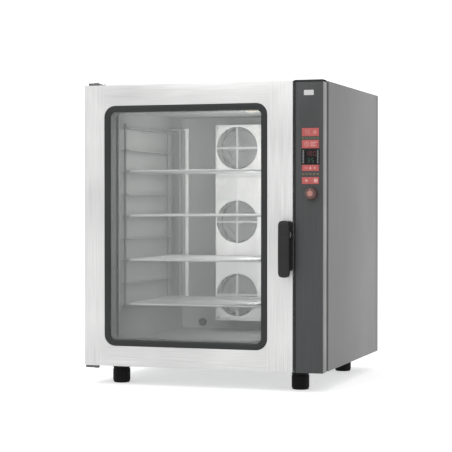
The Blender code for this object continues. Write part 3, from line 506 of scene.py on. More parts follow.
def ring_points(centre, radius, axis, count=32):
    points = []
    for i in range(count):
        turn = 2 * math.pi * i / count
        u, v = radius * math.cos(turn), radius * math.sin(turn)
        points.append(centre + Vector({"X": (0, u, v), "Y": (u, 0, v), "Z": (u, v, 0)}[axis]))
    return points


def add_screw(shape, place, axis, sign, radius=0.004, height=0.0018):
    """A domed screw head with a socket in it, standing on a face."""
    profile = [
        (0.0, radius),
        (0.45 * height, radius),
        (0.85 * height, 0.78 * radius),
        (height, 0.50 * radius),
        (height, 0.42 * radius),
        (0.35 * height, 0.38 * radius),
    ]
    add_turned(shape, [(sign * a, r) for a, r in profile], place, axis, 16)


def add_hex(shape, place, axis, sign, across_flats, height):
    """A hexagon nut or bolt head with a chamfered top."""
    radius = across_flats / math.sqrt(3)
    profile = [(0.0, radius), (0.75 * height, radius), (height, 0.84 * radius)]
    add_turned(shape, [(sign * a, r) for a, r in profile], place, axis, 6)


def add_bar(shape, low, high, edge=0.0):
    """A block between two corners with softened edges."""
    made = bmesh.ops.create_cube(shape, size=1.0)["verts"]
    size = high - low
    for vert in made:
        vert.co = low + Vector(
            (size.x * (vert.co.x + 0.5), size.y * (vert.co.y + 0.5), size.z * (vert.co.z + 0.5))
        )
    if edge:
        edges = {item for vert in made for item in vert.link_edges}
        bmesh.ops.bevel(
            shape, geom=list(edges), offset=edge, segments=2, profile=0.5, affect="EDGES",
            clamp_overlap=True,
        )


# ---- Cabinet
def cabinet():
    refine("side_panel_left", 0.0006, "cabinet_steel")
    refine("side_panel_right", 0.0006, "cabinet_steel")
    refine("top_cover", 0.0006, "lid_steel")
    refine("rear_cover", 0.0010, "cabinet_steel")
    refine("front_frame", 0.0004, "brushed_steel")
    refine("base_frame", 0.0004, "zinc_steel")
    liner = refine("cavity_liner", 0.0004, "cavity_steel")
    # Painted light: the liner's rear wall and roof faces get the lighter copy of its steel.
    paint(
        liner, "cavity_painted_light",
        lambda face: (face.center.y > LINER_HIGH.y - 0.004 and abs(face.normal.y) > 0.9)
        or (face.center.z > LINER_HIGH.z - 0.004 and abs(face.normal.z) > 0.9),
    )
    housing = refine("control_housing", 0.0010, "column_steel")
    # Painted shade: the housing's neck behind NECK_FRONT is black, standing in for the shade in the recess
    # between the column and the cabinet side.
    paint(housing, "black_plastic", lambda face: face.center.y > ORIGIN.y + NECK_FRONT)
    finish("insulation_jacket", "insulation")
    finish("control_board", "board_green")
    for level in ("bottom", "middle", "top"):
        refine("heater_ring_" + level, 0.0003, "heater", limit=60)
        refine("fan_motor_" + level, 0.0012, "aluminium")


def hinges():
    for end, sign in (("top", 1), ("bottom", -1)):
        refine("hinge_plate_" + end, 0.0012, "hinge_grey", 3)
        refine("hinge_pin_" + end, 0.0010, "zinc_steel")
        refine("hinge_bush_" + end, 0.0004, "brass")
        low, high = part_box("hinge_plate_" + end)
        face = high.z if sign > 0 else low.z
        bolts = bmesh.new()
        for depth in (0.100, 0.135):
            spot = Vector((low.x + 0.011, ORIGIN.y + depth, face))
            add_turned(bolts, [(0.0, 0.0075), (sign * 0.001, 0.0075)], spot, "Z", 24)
            add_hex(bolts, spot + Vector((0, 0, sign * 0.001)), "Z", sign, 0.010, 0.0042)
        piece("hinge_bolts_" + end, bolts, "cabinet", "zinc_steel")


def cover_screws():
    screws = bmesh.new()
    for x in (0.012, 0.918):
        for y in (0.110, 0.350, 0.600, 0.840):
            spot = at(x, y, 0)
            spot.z = LID_HIGH.z
            add_screw(screws, spot, "Z", 1)
    for x in (0.012, 0.240, 0.465, 0.690, 0.918):
        for z in (0.014, 1.044):
            add_screw(screws, Vector((at(x, 0, 0).x, REAR_HIGH.y, at(0, 0, z).z)), "Y", 1)
    for z in (0.270, 0.530, 0.790):
        for x in (0.012, 0.918):
            add_screw(screws, Vector((at(x, 0, 0).x, REAR_HIGH.y, at(0, 0, z).z)), "Y", 1)
    piece("cover_screws", screws, "cabinet", "zinc_steel")


def louvres():
    """Pressed hood over each slot in the rear cover."""
    hoods = bmesh.new()
    for left in (0.130, 0.560):
        for level in range(8):
            low = at(left, 0, 0.640 + 0.040 * level)
            rows = []
            for drop, reach in (
                (0.020, 0.0), (0.014, 0.0062), (0.007, 0.0086), (0.001, 0.0090), (0.001, 0.0080),
                (0.007, 0.0076), (0.013, 0.0052), (0.0185, 0.0),
            ):
                row = []
                for along in range(13):
                    share = along / 12
                    fade = min(1.0, 6 * share, 6 * (1 - share)) ** 0.5
                    row.append(
                        hoods.verts.new(
                            (
                                low.x - 0.004 + 0.248 * share, REAR_HIGH.y + reach * fade - 0.0002,
                                low.z + drop - 0.002,
                            )
                        )
                    )
                rows.append(row)
            bridge(hoods, rows, closed_across=False)
            hoods.faces.new([row[0] for row in rows])
            hoods.faces.new([row[-1] for row in rows])
    piece("rear_louvres", hoods, "cabinet", "cabinet_steel", smooth=50)


def services():
    refine("exhaust_flue", 0.0004, "zinc_steel")
    refine("flue_damper", 0.0003, "zinc_steel")
    refine("drain_pipe", 0.0008, "zinc_steel")
    flue = middle("exhaust_flue")
    collar = bmesh.new()
    seat = Vector((flue.x, flue.y, LID_HIGH.z))
    profile = [
        (0.0, 0.0254), (0.0, 0.0440), (0.0015, 0.0446), (0.0025, 0.0436), (0.0030, 0.0300), (0.0080, 0.0262),
        (0.0080, 0.0254),
    ]
    add_turned(collar, profile, seat, "Z", 40, ring=True)
    for turn in range(4):
        lean = math.radians(45 + 90 * turn)
        add_screw(
            collar, seat + Vector((0.037 * math.cos(lean), 0.037 * math.sin(lean), 0.0028)), "Z", 1, 0.0032,
        )
    piece("flue_collar", collar, "cabinet", "zinc_steel")
    rim = bmesh.new()
    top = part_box("exhaust_flue")[1].z
    add_rod(
        rim, ring_points(Vector((flue.x, flue.y, top - 0.0012)), 0.0248, "Z", 40), 0.0011, 8, closed=True,
    )
    piece("flue_rim", rim, "cabinet", "zinc_steel")
    details = bmesh.new()
    drain = middle("drain_pipe")
    seat = Vector((drain.x, REAR_HIGH.y, drain.z))
    add_turned(
        details,
        [(0, 0.0204), (0, 0.0330), (0.0012, 0.0338), (0.0022, 0.0328), (0.0040, 0.0215), (0.0040, 0.0204)],
        seat, "Y", 36, ring=True,
    )
    for turn in range(3):
        lean = math.radians(90 + 120 * turn)
        add_screw(
            details, seat + Vector((0.028 * math.cos(lean), 0.0018, 0.028 * math.sin(lean))), "Y", 1, 0.003,
        )
    piece("drain_flange", details, "cabinet", "zinc_steel")
    inlet = bmesh.new()
    low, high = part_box("water_inlet")
    spot = at(0.640, 0, 0.110)
    add_bar(inlet, Vector((low.x, low.y, low.z)), Vector((high.x, ORIGIN.y + 0.8895, high.z)), 0.003)
    add_turned(inlet, [(0.8885, 0.0138), (0.9090, 0.0138)], Vector((spot.x, ORIGIN.y, spot.z)), "Y", 32)
    add_hex(inlet, Vector((spot.x, ORIGIN.y + 0.9012, spot.z)), "Y", 1, 0.026, 0.0075)
    thread = [(0.9085, 0.0088)]
    for turn in range(8):
        start = 0.9090 + 0.0019 * turn
        thread += [
            (start, 0.0088), (start + 0.0006, 0.0100), (start + 0.0012, 0.0100), (start + 0.0018, 0.0088),
        ]
    thread += [(0.9256, 0.0092), (0.9256, 0.0068), (0.9120, 0.0064)]
    add_turned(inlet, thread, Vector((spot.x, ORIGIN.y, spot.z)), "Y", 32)
    piece("inlet_valve", inlet, "cabinet", "brass", ["water_inlet"])
    gland = bmesh.new()
    spot = Vector((middle("cable_gland").x, ORIGIN.y, middle("cable_gland").z))
    add_turned(
        gland,
        [
            (0.888, 0.008), (0.888, 0.018), (0.896, 0.018), (0.896, 0.013), (0.9014, 0.013),
            (0.9014, 0.0168), (0.9080, 0.0168), (0.9080, 0.008),
        ],
        spot, "Y", 36, ring=True,
    )
    add_turned(
        gland,
        [
            (0.9078, 0.008), (0.9078, 0.0162), (0.9150, 0.0160), (0.9200, 0.0140), (0.9236, 0.0112),
            (0.9240, 0.0100), (0.9240, 0.0080),
        ],
        spot, "Y", 72, ring=True, flutes=18, flute_depth=0.0008,
    )
    piece("gland_nut", gland, "cabinet", "black_plastic", ["cable_gland"])


def feet():
    for foot in ("foot_front_left", "foot_front_right", "foot_rear_left", "foot_rear_right"):
        low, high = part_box(foot)
        seat = Vector(((low.x + high.x) / 2, (low.y + high.y) / 2, low.z))
        shape = bmesh.new()
        profile = [
            (0.0, 0.0265), (
                0.0008, 0.0288,
            ), (0.0030, 0.0312), (0.0070, 0.0312), (0.0082, 0.0326), (0.0100, 0.0330),
            (0.0500, 0.0330), (0.0520, 0.0324), (0.0535, 0.0306), (0.0560, 0.0306), (0.0575, 0.0324),
            (0.0590, 0.0330), (0.0690, 0.0330), (0.0712, 0.0318), (0.0717, 0.0300),
        ]
        add_turned(shape, profile, seat, "Z", 96, flutes=24, flute_depth=0.0007)
        piece(foot + "_body", shape, foot, "foot_black", [foot])
        stud = bmesh.new()
        reach = high.z - low.z
        thread = [(0.0700, 0.0070)]
        turns = int((reach - 0.0720) / 0.002)
        for turn in range(turns):
            start = 0.0716 + 0.002 * turn
            thread += [
                (start, 0.0070), (start + 0.0006, 0.0080), (start + 0.0012, 0.0080),
                (start + 0.0018, 0.0070),
            ]
        thread.append((reach, 0.0062))
        add_turned(stud, thread, seat, "Z", 20)
        piece(foot + "_stud", stud, foot, "zinc_steel")


# ---- Chamber
def gasket():
    low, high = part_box("door_gasket")
    centre = ((low.x + high.x) / 2, (low.z + high.z) / 2)
    profile = [
        (0.0000, high.y), (0.0000, high.y - 0.0030), (0.0030, high.y - 0.0045), (0.0020, low.y + 0.0060),
        (
            0.0034, low.y + 0.0022,
        ), (0.0062, low.y + 0.0004), (0.0092, low.y + 0.0014), (0.0110, low.y + 0.0042),
        (
            0.0112, high.y - 0.0046,
        ), (0.0150, low.y + 0.0064), (0.0172, low.y + 0.0050), (0.0178, low.y + 0.0068),
        (0.0150, high.y - 0.0030), (0.0178, high.y),
    ]
    shape = bmesh.new()
    add_band(shape, centre, (high.x - low.x, high.z - low.z), 0.030, profile, 8)
    piece("gasket_seal", shape, "cabinet", "rubber", ["door_gasket"], smooth=60)


def racks():
    """Racks in the chamber's own steel. Their stop posts at the rear get a near-white copy of that steel, a
    painted highlight.
    """
    for side, sign in (("left", 1), ("right", -1)):
        rack = refine("tray_rack_" + side, 0.0005, "cavity_steel")
        # Painted highlight: the faces beyond the split get the near-white copy of the steel.
        rack.data.materials.append(MATERIALS["post_painted_highlight"])
        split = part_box("tray_rack_" + side)[0 if sign > 0 else 1].x + POST_INSET * sign
        shape = bmesh.new()
        shape.from_mesh(rack.data)
        bmesh.ops.bisect_plane(
            shape, geom=shape.verts[:] + shape.edges[:] + shape.faces[:], plane_co=(
                split, 0, 0,
            ), plane_no=(1, 0, 0),
        )
        for face in shape.faces:
            face.material_index = int((face.calc_center_median().x - split) * sign > 0)
        shape.to_mesh(rack.data)
        shape.free()


def shelves():
    rod, wire = 0.0039, 0.0014
    for number in range(1, 5):
        node = "wire_shelf_%d" % number
        low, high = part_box(node)
        shape = bmesh.new()
        level = low.z + rod
        centre = ((low.x + high.x) / 2, (low.y + high.y) / 2)
        size = (high.x - low.x - 2 * rod, high.y - low.y - 2 * rod)
        add_rod(
            shape, [Vector((x, y, level)) for x, y in rounded(centre, size, 0.018, 6)], rod, 10, closed=True,
        )
        top = low.z + 2 * rod - wire
        for share in (0.25, 0.50, 0.75):
            y = low.y + rod + share * size[1]
            add_rod(
                shape, [Vector((low.x + rod, y, level - 0.0012)), Vector((high.x - rod, y, level - 0.0012))],
                0.0024, 8,
            )
        count = 27
        for index in range(1, count):
            x = low.x + rod + size[0] * index / count
            add_rod(
                shape, [Vector((x, low.y + rod * 0.6, top)), Vector((x, high.y - rod * 0.6, top))], wire, 6,
            )
        piece(
            "shelf_grid_%d" % number, shape, "shelf_%d" % number, "wire_steel", [node],
            smooth=60,
        )


def fans():
    refine("fan_baffle", 0.0008, "hood_steel")
    hood_low, hood_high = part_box("fan_baffle")
    for level in ("bottom", "middle", "top"):
        node = "fan_wheel_" + level
        low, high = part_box(node)
        centre = Vector(((low.x + high.x) / 2, 0, (low.z + high.z) / 2))
        guard = bmesh.new()
        face = centre + Vector((0, hood_low.y + 0.0026, 0))
        for step in range(1, GUARD_RINGS + 1):
            add_rod(guard, ring_points(face, GUARD_STEP * step, "Y", 36), 0.0016, 6, closed=True)
        for turn in range(GUARD_SPOKES):
            lean = math.radians(22.5 + 45 * turn)
            reach = Vector((math.cos(lean), 0, math.sin(lean)))
            add_rod(guard, [face + 0.006 * reach, face + 0.0865 * reach], 0.0012, 6)
        piece("intake_guard_" + level, guard, "cabinet", "guard_wire", smooth=60)
        wheel = bmesh.new()
        disc = ORIGIN.y + 0.716
        add_turned(
            wheel,
            [
                (disc, 0.0100), (disc - 0.0008, 0.0300), (disc, 0.0738), (disc + 0.0028, 0.0738),
                (disc + 0.0028, 0.0100),
            ],
            centre, "Y", 48, ring=True,
        )
        front = low.y + 0.0225
        add_turned(
            wheel,
            [
                (front, 0.0560), (front - 0.0012, 0.0640), (front, 0.0735), (front + 0.0014, 0.0735),
                (front + 0.0004, 0.0640), (front + 0.0016, 0.0562),
            ],
            centre, "Y", 48, ring=True,
        )
        add_turned(
            wheel,
            [
                (low.y, 0.0058), (low.y + 0.0020, 0.0060), (low.y + 0.0120, 0.0132), (disc + 0.001, 0.0138),
                (disc + 0.004, 0.0138), (disc + 0.004, 0.0060), (high.y, 0.0060),
            ],
            centre, "Y", 32,
        )
        add_hex(wheel, Vector((centre.x, low.y + 0.0095, centre.z)), "Y", -1, 0.013, 0.0060)
        for blade in range(BLADES):
            rows = []
            for share in range(5):
                reach = 0.0560 + (0.0732 - 0.0560) * share / 4
                lean = 2 * math.pi * blade / BLADES + math.radians(15) * (share / 4) ** 1.5
                half = 0.0007 / reach
                rows.append(
                    [
                        wheel.verts.new((centre.x + reach * math.cos(a), y, centre.z + reach * math.sin(a)))
                        for a, y in (
                            (lean - half, front), (lean + half, front), (lean + half, disc + 0.001),
                            (lean - half, disc + 0.001),
                        )
                    ]
                )
            bridge(wheel, rows, closed_rows=False)
            wheel.faces.new(rows[0])
            wheel.faces.new(rows[-1])
        piece("fan_rotor_" + level, wheel, "fan_" + level, "aluminium", [node])
    fixings = bmesh.new()
    for z in (hood_low.z + 0.012, hood_high.z - 0.012):
        for x in (hood_low.x + 0.012, hood_high.x - 0.012):
            add_turned(
                fixings, [(0, 0.0052), (-0.0008, 0.0058), (-0.0050, 0.0058), (-0.0058, 0.0050)],
                Vector((x, hood_low.y, z)), "Y", 48, flutes=12, flute_depth=0.0006,
            )
    piece("hood_fixings", fixings, "cabinet", "wire_steel")


def lamp():
    low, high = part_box("cavity_lamp")
    spot = Vector(((low.x + high.x) / 2, (low.y + high.y) / 2, low.z))
    shape = bmesh.new()
    profile = [(0.0000, 0.0150), (0.0010, 0.0190), (0.0030, 0.0238), (0.0060, 0.0268), (0.0125, 0.0282)]
    add_turned(
        shape,
        profile + [
            (high.z - low.z - 0.028, 0.0285), (high.z - low.z - 0.018, 0.0160), (high.z - low.z, 0.0160),
        ],
        spot, "Z", 48, flutes=16, flute_depth=0.0004,
    )
    piece("lamp_cap", shape, "cabinet", "lamp_glass", ["cavity_lamp"])
    rim = bmesh.new()
    add_turned(
        rim, [(0.0090, 0.0284), (0.0090, 0.0330), (0.0100, 0.0345), (0.0128, 0.0345), (0.0128, 0.0284)],
        spot, "Z", 48, ring=True,
    )
    piece("lamp_rim", rim, "cabinet", "cavity_steel")


# ---- Door
def door():
    refine("door_frame", 0.0014, "door_steel", 3)
    refine("door_rear_frame", 0.0006, "cavity_steel")
    finish("outer_glass", "glass")
    finish("inner_glass", "rear_glass")
    centre = ((TRIM_LOW.x + TRIM_HIGH.x) / 2, (TRIM_LOW.z + TRIM_HIGH.z) / 2)
    size = (TRIM_HIGH.x - TRIM_LOW.x, TRIM_HIGH.z - TRIM_LOW.z)
    front = TRIM_LOW.y
    profile = [
        (0.0000, front + 0.0036), (0.0000, front + 0.0012), (0.0005, front + 0.0004), (0.0016, front),
        (
            0.0150, front + 0.0001,
        ), (0.0178, front + 0.0005), (0.0200, front + 0.0014), (0.0228, front + 0.0030),
        (0.0240, front + 0.0036),
    ]
    shape = bmesh.new()
    add_band(shape, centre, size, 0.044, profile, 12)
    piece("window_bezel", shape, "door", "bezel", ["window_trim"], smooth=45)
    clips = bmesh.new()
    inner_low, inner_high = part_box("inner_glass")
    edge = ORIGIN.y + 0.0526
    for z in (inner_low.z + 0.10, (inner_low.z + inner_high.z) / 2, inner_high.z - 0.10):
        for x, sign in ((inner_low.x, 1), (inner_high.x, -1)):
            spread_x = sorted((x - sign * 0.010, x + sign * 0.001))
            add_bar(
                clips, Vector((spread_x[0], edge, z - 0.012)),
                Vector((spread_x[1], edge + 0.0105, z + 0.012)), 0.0012,
            )
            add_screw(clips, Vector((x - sign * 0.0055, edge + 0.0105, z)), "Y", 1, 0.0030, 0.0010)
    piece("inner_pane_clips", clips, "door", "zinc_steel")
    # Painted shade: a thin black strip on the door's right edge, standing in for the shade of the gap
    # between the door and the column.
    gap_shade_strip = bmesh.new()
    add_bar(gap_shade_strip, at(0.8168, -0.0003, 0.0016), at(0.8198, 0.0012, 1.0564), 0.0003)
    piece("door_gap_shade_strip", gap_shade_strip, "door", "black_plastic")


def handle():
    low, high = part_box("door_handle")
    base_low, base_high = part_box("handle_base")
    pivot = middle("handle_spindle")
    width = high.x - low.x
    centre_x = (low.x + high.x) / 2
    front, back = low.y + 0.0002, ORIGIN.y - 0.030
    lever = bmesh.new()
    rows = []
    count = 44
    for index in range(count + 1):
        share = index / count
        z = low.z + (high.z - low.z) * (0.5 - 0.5 * math.cos(math.pi * share))
        end = min(z - low.z, high.z - z)
        corner = 0.019
        taper = math.sqrt(max(1 - (1 - min(end / corner, 1.0)) ** 2, 0.0))
        half = max(width / 2 * (1 - 0.45 * (1 - taper)) * (0.35 + 0.65 * min(1, taper * 1.6)), 0.004)
        rise = (z - low.z) / (high.z - low.z)
        crown = 0.0016 * math.sin(math.pi * rise)
        front_y = front + 0.0018 - crown + 0.0060 * (1 - taper)
        back_y = back - 0.0030 * math.sin(math.pi * min(1.0, rise * 1.25)) ** 2 - 0.0050 * (1 - taper)
        row = []
        around = 28
        for step in range(around):
            turn = 2 * math.pi * step / around
            c, s = math.cos(turn), math.sin(turn)
            x = centre_x + half * math.copysign(abs(c) ** 0.4, c)
            y = (front_y + back_y) / 2 + (back_y - front_y) / 2 * math.copysign(abs(s) ** 0.4, s)
            row.append(lever.verts.new((x, y, z)))
        rows.append(row)
    bridge(lever, rows, closed_rows=False)
    lever.faces.new(rows[0])
    lever.faces.new(rows[-1])
    piece("lever_grip", lever, "handle", "black_plastic", ["door_handle"], smooth=55)
    neck = bmesh.new()
    spot = Vector((pivot.x, ORIGIN.y, pivot.z))
    add_turned(
        neck,
        [
            (-0.0310, 0.0060), (-0.0310, 0.0192), (-0.0290, 0.0195), (-0.0240, 0.0172), (-0.0190, 0.0172),
            (-0.0150, 0.0195), (-0.0132, 0.0195), (-0.0132, 0.0060),
        ],
        spot, "Y", 48, ring=True,
    )
    piece("lever_neck", neck, "handle", "cabinet_steel", smooth=40)
    cap = bmesh.new()
    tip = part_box("handle_spindle")[0].y
    add_turned(
        cap,
        [
            (tip + 0.0001, 0.0034), (tip + 0.0005, 0.0044), (tip + 0.0012, 0.0049), (back, 0.0049),
            (ORIGIN.y + 0.068, 0.0049),
        ],
        Vector((pivot.x, 0, pivot.z)), "Y", 32,
    )
    rod = piece("spindle_rod", cap, "handle", "zinc_steel", ["handle_spindle"])
    paint(rod, "black_plastic", lambda face: face.center.y < back)
    refine("latch_hook", 0.0007, "zinc_steel")
    refine("latch_keeper", 0.0004, "zinc_steel")
    base = bmesh.new()
    centre = ((base_low.x + base_high.x) / 2, (base_low.z + base_high.z) / 2)
    outline = rounded(centre, (base_high.x - base_low.x, base_high.z - base_low.z), 0.010, 6)
    add_slab(base, outline, ORIGIN.y - 0.0060, ORIGIN.y - 0.0003, 0.0016)
    add_turned(
        base,
        [(-0.0050, 0.0195), (-0.0118, 0.0195), (-0.0127, 0.0186), (-0.0127, 0.0054), (-0.0050, 0.0054)],
        spot, "Y", 48, ring=True,
    )
    for z in (base_low.z + 0.014, base_high.z - 0.012):
        add_screw(base, Vector((centre[0], ORIGIN.y - 0.0060, z)), "Y", -1, 0.0036, 0.0016)
    piece("handle_plate", base, "door", "black_plastic", ["handle_base"])


# ---- Control column
SEGMENTS = {
    "a": ((-1, 2), (1, 2)), "b": ((1, 2), (1, 0)), "c": ((1, 0), (1, -2)), "d": ((-1, -2), (1, -2)),
    "e": ((-1, 0), (-1, -2)), "f": ((-1, 2), (-1, 0)), "g": ((-1, 0), (1, 0)),
}
DIGITS = {"0": "abcdef", "1": "bc", "3": "abcdg", "5": "acdfg", "8": "abcdefg"}


def add_digit(shape, digit, x, z, half, y):
    thick = half * 0.24
    for name in DIGITS[digit]:
        (x1, z1), (x2, z2) = SEGMENTS[name]
        first = Vector((x + half * min(x1, x2), y, z + half * 0.86 * min(z1, z2)))
        last = Vector((x + half * max(x1, x2), y, z + half * 0.86 * max(z1, z2)))
        if x1 == x2:
            first += Vector((-thick, 0, thick * 1.25))
            last += Vector((thick, 0, -thick * 1.25))
        else:
            first += Vector((thick * 1.25, 0, -thick))
            last += Vector((-thick * 1.25, 0, thick))
        add_slab(
            shape, [
                (first.x, first.z), (last.x, first.z), (last.x, last.z), (first.x, last.z),
            ], y - 0.0002, y + 0.0001,
        )


def flat_ring(shape, x, z, inner, outer, y, sides=32):
    add_turned(
        shape, [(y - 0.0002, inner), (y - 0.0002, outer), (y + 0.0001, outer), (y + 0.0001, inner)],
        Vector((x, 0, z)), "Y", sides, ring=True,
    )


def flat_disc(shape, x, z, radius, y, sides=24):
    add_turned(shape, [(y - 0.0002, radius), (y + 0.0001, radius)], Vector((x, 0, z)), "Y", sides)


def stroke(shape, points, width, y):
    """A flat printed line through (x, z) points."""
    for (x1, z1), (x2, z2) in zip(points, points[1:]):
        along = Vector((x2 - x1, 0, z2 - z1)).normalized()
        side = Vector((-along.z, 0, along.x)) * width / 2
        ends = [Vector((x1, 0, z1)) - along * width * 0.3, Vector((x2, 0, z2)) + along * width * 0.3]
        outline = [ends[0] - side, ends[1] - side, ends[1] + side, ends[0] + side]
        add_slab(shape, [(p.x, p.z) for p in outline], y - 0.0002, y + 0.0001)


def key_marks(node, y):
    """Plain symbols: waves for the mode, a clock, a drop and an arrow."""
    spot = middle(node)
    x, z = spot.x, spot.z
    shape = bmesh.new()
    if node == "mode_key":
        for lift in (-0.006, 0.0, 0.006):
            wave = [(x - 0.020 + 0.002 * i, z + lift + 0.0014 * math.sin(i * 1.05)) for i in range(10)]
            stroke(shape, wave, 0.0013, y)
        flat_ring(shape, x + 0.016, z, 0.0052, 0.0066, y)
        for turn in range(3):
            lean = math.radians(90 + 120 * turn)
            tip = (x + 0.016 + 0.0046 * math.cos(lean), z + 0.0046 * math.sin(lean))
            stroke(shape, [(x + 0.016, z), tip], 0.0014, y)
    elif node == "time_key":
        flat_ring(shape, x - 0.014, z, 0.0066, 0.0082, y)
        stroke(shape, [(x - 0.014, z + 0.0048), (x - 0.014, z), (x - 0.0105, z - 0.001)], 0.0014, y)
        for lift, reach in ((0.0062, 0.026), (0.0, 0.018), (-0.0062, 0.022)):
            stroke(shape, [(x + 0.001, z + lift), (x + 0.001 + reach * 0.9, z + lift)], 0.0026, y)
    elif node == "steam_key":
        drop = []
        for i in range(20):
            turn = 2 * math.pi * i / 20
            drop.append((x + 0.0042 * math.sin(turn) * math.sin(turn / 2), z + 0.0060 * math.cos(turn)))
        add_slab(shape, drop, y - 0.0002, y + 0.0001)
        for side in (-0.016, 0.016):
            stroke(shape, [(x + side - 0.005, z), (x + side + 0.005, z)], 0.0020, y)
        stroke(shape, [(x + 0.016, z - 0.005), (x + 0.016, z + 0.005)], 0.0020, y)
    else:
        add_slab(
            shape, [(x - 0.018, z - 0.006), (x - 0.008, z), (x - 0.018, z + 0.006)], y - 0.0002, y + 0.0001,
        )
        add_slab(shape, rounded((x + 0.020, z), (0.014, 0.014), 0.003, 3), y - 0.0002, y + 0.0001)
    piece(node + "_marks", shape, BODY_OF[node], "key_mark")


def control_panel():
    refine("control_fascia", 0.0005, "fascia_grey")
    housing_low, housing_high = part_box("control_housing")
    cap = bmesh.new()
    add_bar(
        cap,
        Vector((housing_low.x - 0.0004, housing_low.y - 0.0006, FASCIA_HIGH.z + 0.0002)),
        Vector((housing_high.x, housing_low.y + 0.0520, housing_high.z + 0.0012)),
        0.0008,
    )
    piece("column_cap", cap, "cabinet", "black_plastic")
    trim = bmesh.new()
    add_bar(
        trim,
        Vector((FASCIA_LOW.x + 0.0002, FASCIA_LOW.y - 0.0004, FASCIA_LOW.z + 0.0004)),
        Vector((FASCIA_LOW.x + 0.0064, FASCIA_LOW.y + 0.0012, FASCIA_HIGH.z - 0.0002)),
        0.0002,
    )
    piece("column_edge_trim", trim, "cabinet", "black_plastic")
    # Painted shade: a dark rubber strip fills the recess on the column's right side, standing in for the
    # shade in it.
    recess_shade_strip = bmesh.new()
    add_bar(recess_shade_strip, at(0.9224, 0.0532, 0.0020), at(0.9292, 0.0794, 1.0564), 0.0010)
    piece("column_recess_shade", recess_shade_strip, "cabinet", "rubber")
    for node in ("mode_key", "time_key", "steam_key", "start_key"):
        refine(node, 0.0009, "key_red", 3)
        key_marks(node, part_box(node)[0].y)
    refine("display_window", 0.0006, "display_black")
    face = FASCIA_LOW.y
    low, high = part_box("display_window")
    lamp_x = (low.x + high.x) / 2
    glass = low.y
    red, green, strips = bmesh.new(), bmesh.new(), bmesh.new()
    for index, digit in enumerate("180"):
        add_digit(red, digit, lamp_x - 0.0150 + 0.0150 * index, high.z - 0.0150, 0.0046, glass)
    for index, digit in enumerate("35"):
        add_digit(green, digit, lamp_x - 0.0072 + 0.0150 * index, low.z + 0.0135, 0.0042, glass)
    flat_disc(green, lamp_x + 0.0002, low.z + 0.0098, 0.0007, glass)
    for x in (low.x + 0.0045, high.x - 0.0045):
        for step in range(9):
            z = low.z + 0.0050 + 0.0054 * step
            add_slab(strips, rounded((x, z), (0.0058, 0.0040), 0.0008, 2), glass - 0.0003, glass + 0.0001)
    piece("display_digits_upper", red, "cabinet", "digit_red")
    piece("display_digits_lower", green, "cabinet", "digit_green")
    piece("display_side_bars", strips, "cabinet", "bar_grey")
    surround = bmesh.new()
    centre = ((low.x + high.x) / 2, (low.z + high.z) / 2)
    add_band(
        surround, centre, (high.x - low.x + 0.006, high.z - low.z + 0.006), 0.005,
        [(0.0, face), (0.0003, face - 0.0008), (0.0016, face - 0.0008), (0.0022, face)], 4,
    )
    piece("display_surround", surround, "cabinet", "black_plastic")
    badge = bmesh.new()
    spot = (at(0.8775, 0, 0).x, at(0, 0, 1.0125).z)
    add_slab(badge, rounded(spot, (0.037, 0.019), 0.003, 5), face - 0.0012, face + 0.0002, 0.0005)
    add_band(
        badge, spot, (0.032, 0.014), 0.002,
        [(0.0, face - 0.0012), (0.0003, face - 0.0015), (0.0008, face - 0.0015), (0.0011, face - 0.0012)], 4,
    )
    piece("blank_badge", badge, "cabinet", "badge")
    x0, x1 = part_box("mode_key")[0].x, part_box("mode_key")[1].x
    upper = (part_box("mode_key")[0].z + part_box("time_key")[1].z) / 2
    lower = (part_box("steam_key")[0].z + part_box("start_key")[1].z) / 2
    for name, level, material in (("upper", upper, "lamp_olive"), ("lower", lower, "lamp_amber")):
        row = bmesh.new()
        for index in range(5):
            spot = (x0 + 0.007 + (x1 - x0 - 0.014) * index / 4, level)
            add_slab(row, rounded(spot, (0.0092, 0.0052), 0.0012, 3), face - 0.0005, face + 0.0001, 0.0002)
        piece("status_lamps_" + name, row, "cabinet", material)


def knob():
    low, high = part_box("control_knob")
    spot = Vector(((low.x + high.x) / 2, 0, (low.z + high.z) / 2))
    front = low.y
    shape = bmesh.new()
    add_turned(
        shape,
        [
            (front + 0.0220, 0.0215), (front + 0.0208, 0.0224), (front + 0.0180, 0.0224),
            (front + 0.0165, 0.0212),
        ],
        spot, "Y", 72,
    )
    add_turned(
        shape,
        [
            (front + 0.0170, 0.0214), (front + 0.0060, 0.0206), (front + 0.0026, 0.0198),
            (front + 0.0010, 0.0182), (front + 0.0002, 0.0160), (front + 0.0006, 0.0110),
            (front + 0.0010, 0.0050),
        ],
        spot, "Y", 144, flutes=24, flute_depth=0.0007,
    )
    add_turned(shape, [(front + 0.0210, 0.0040), (high.y, 0.0040)], spot, "Y", 20)
    piece("knob_grip", shape, "knob", "knob_brown", ["control_knob"], smooth=40)
    cap = bmesh.new()
    add_turned(
        cap, [(front + 0.0012, 0.0104), (front + 0.0002, 0.0104), (front, 0.0096), (front + 0.0003, 0.0040)],
        spot, "Y", 40,
    )
    add_bar(
        cap, Vector((spot.x - 0.0011, front, spot.z + 0.0112)),
        Vector((spot.x + 0.0011, front + 0.0012, spot.z + 0.0176)), 0.0003,
    )
    piece("knob_pointer", cap, "knob", "knob_cap")
    scale = bmesh.new()
    for turn in range(-5, 6):
        lean = math.radians(90 - 27 * turn)
        inner, outer = 0.0252, 0.0278 if turn % 5 else 0.0290
        stroke(
            scale,
            [(spot.x + r * math.cos(lean), spot.z + r * math.sin(lean)) for r in (inner, outer)],
            0.0009,
            FASCIA_LOW.y,
        )
    piece("knob_scale", scale, "cabinet", "bar_grey")


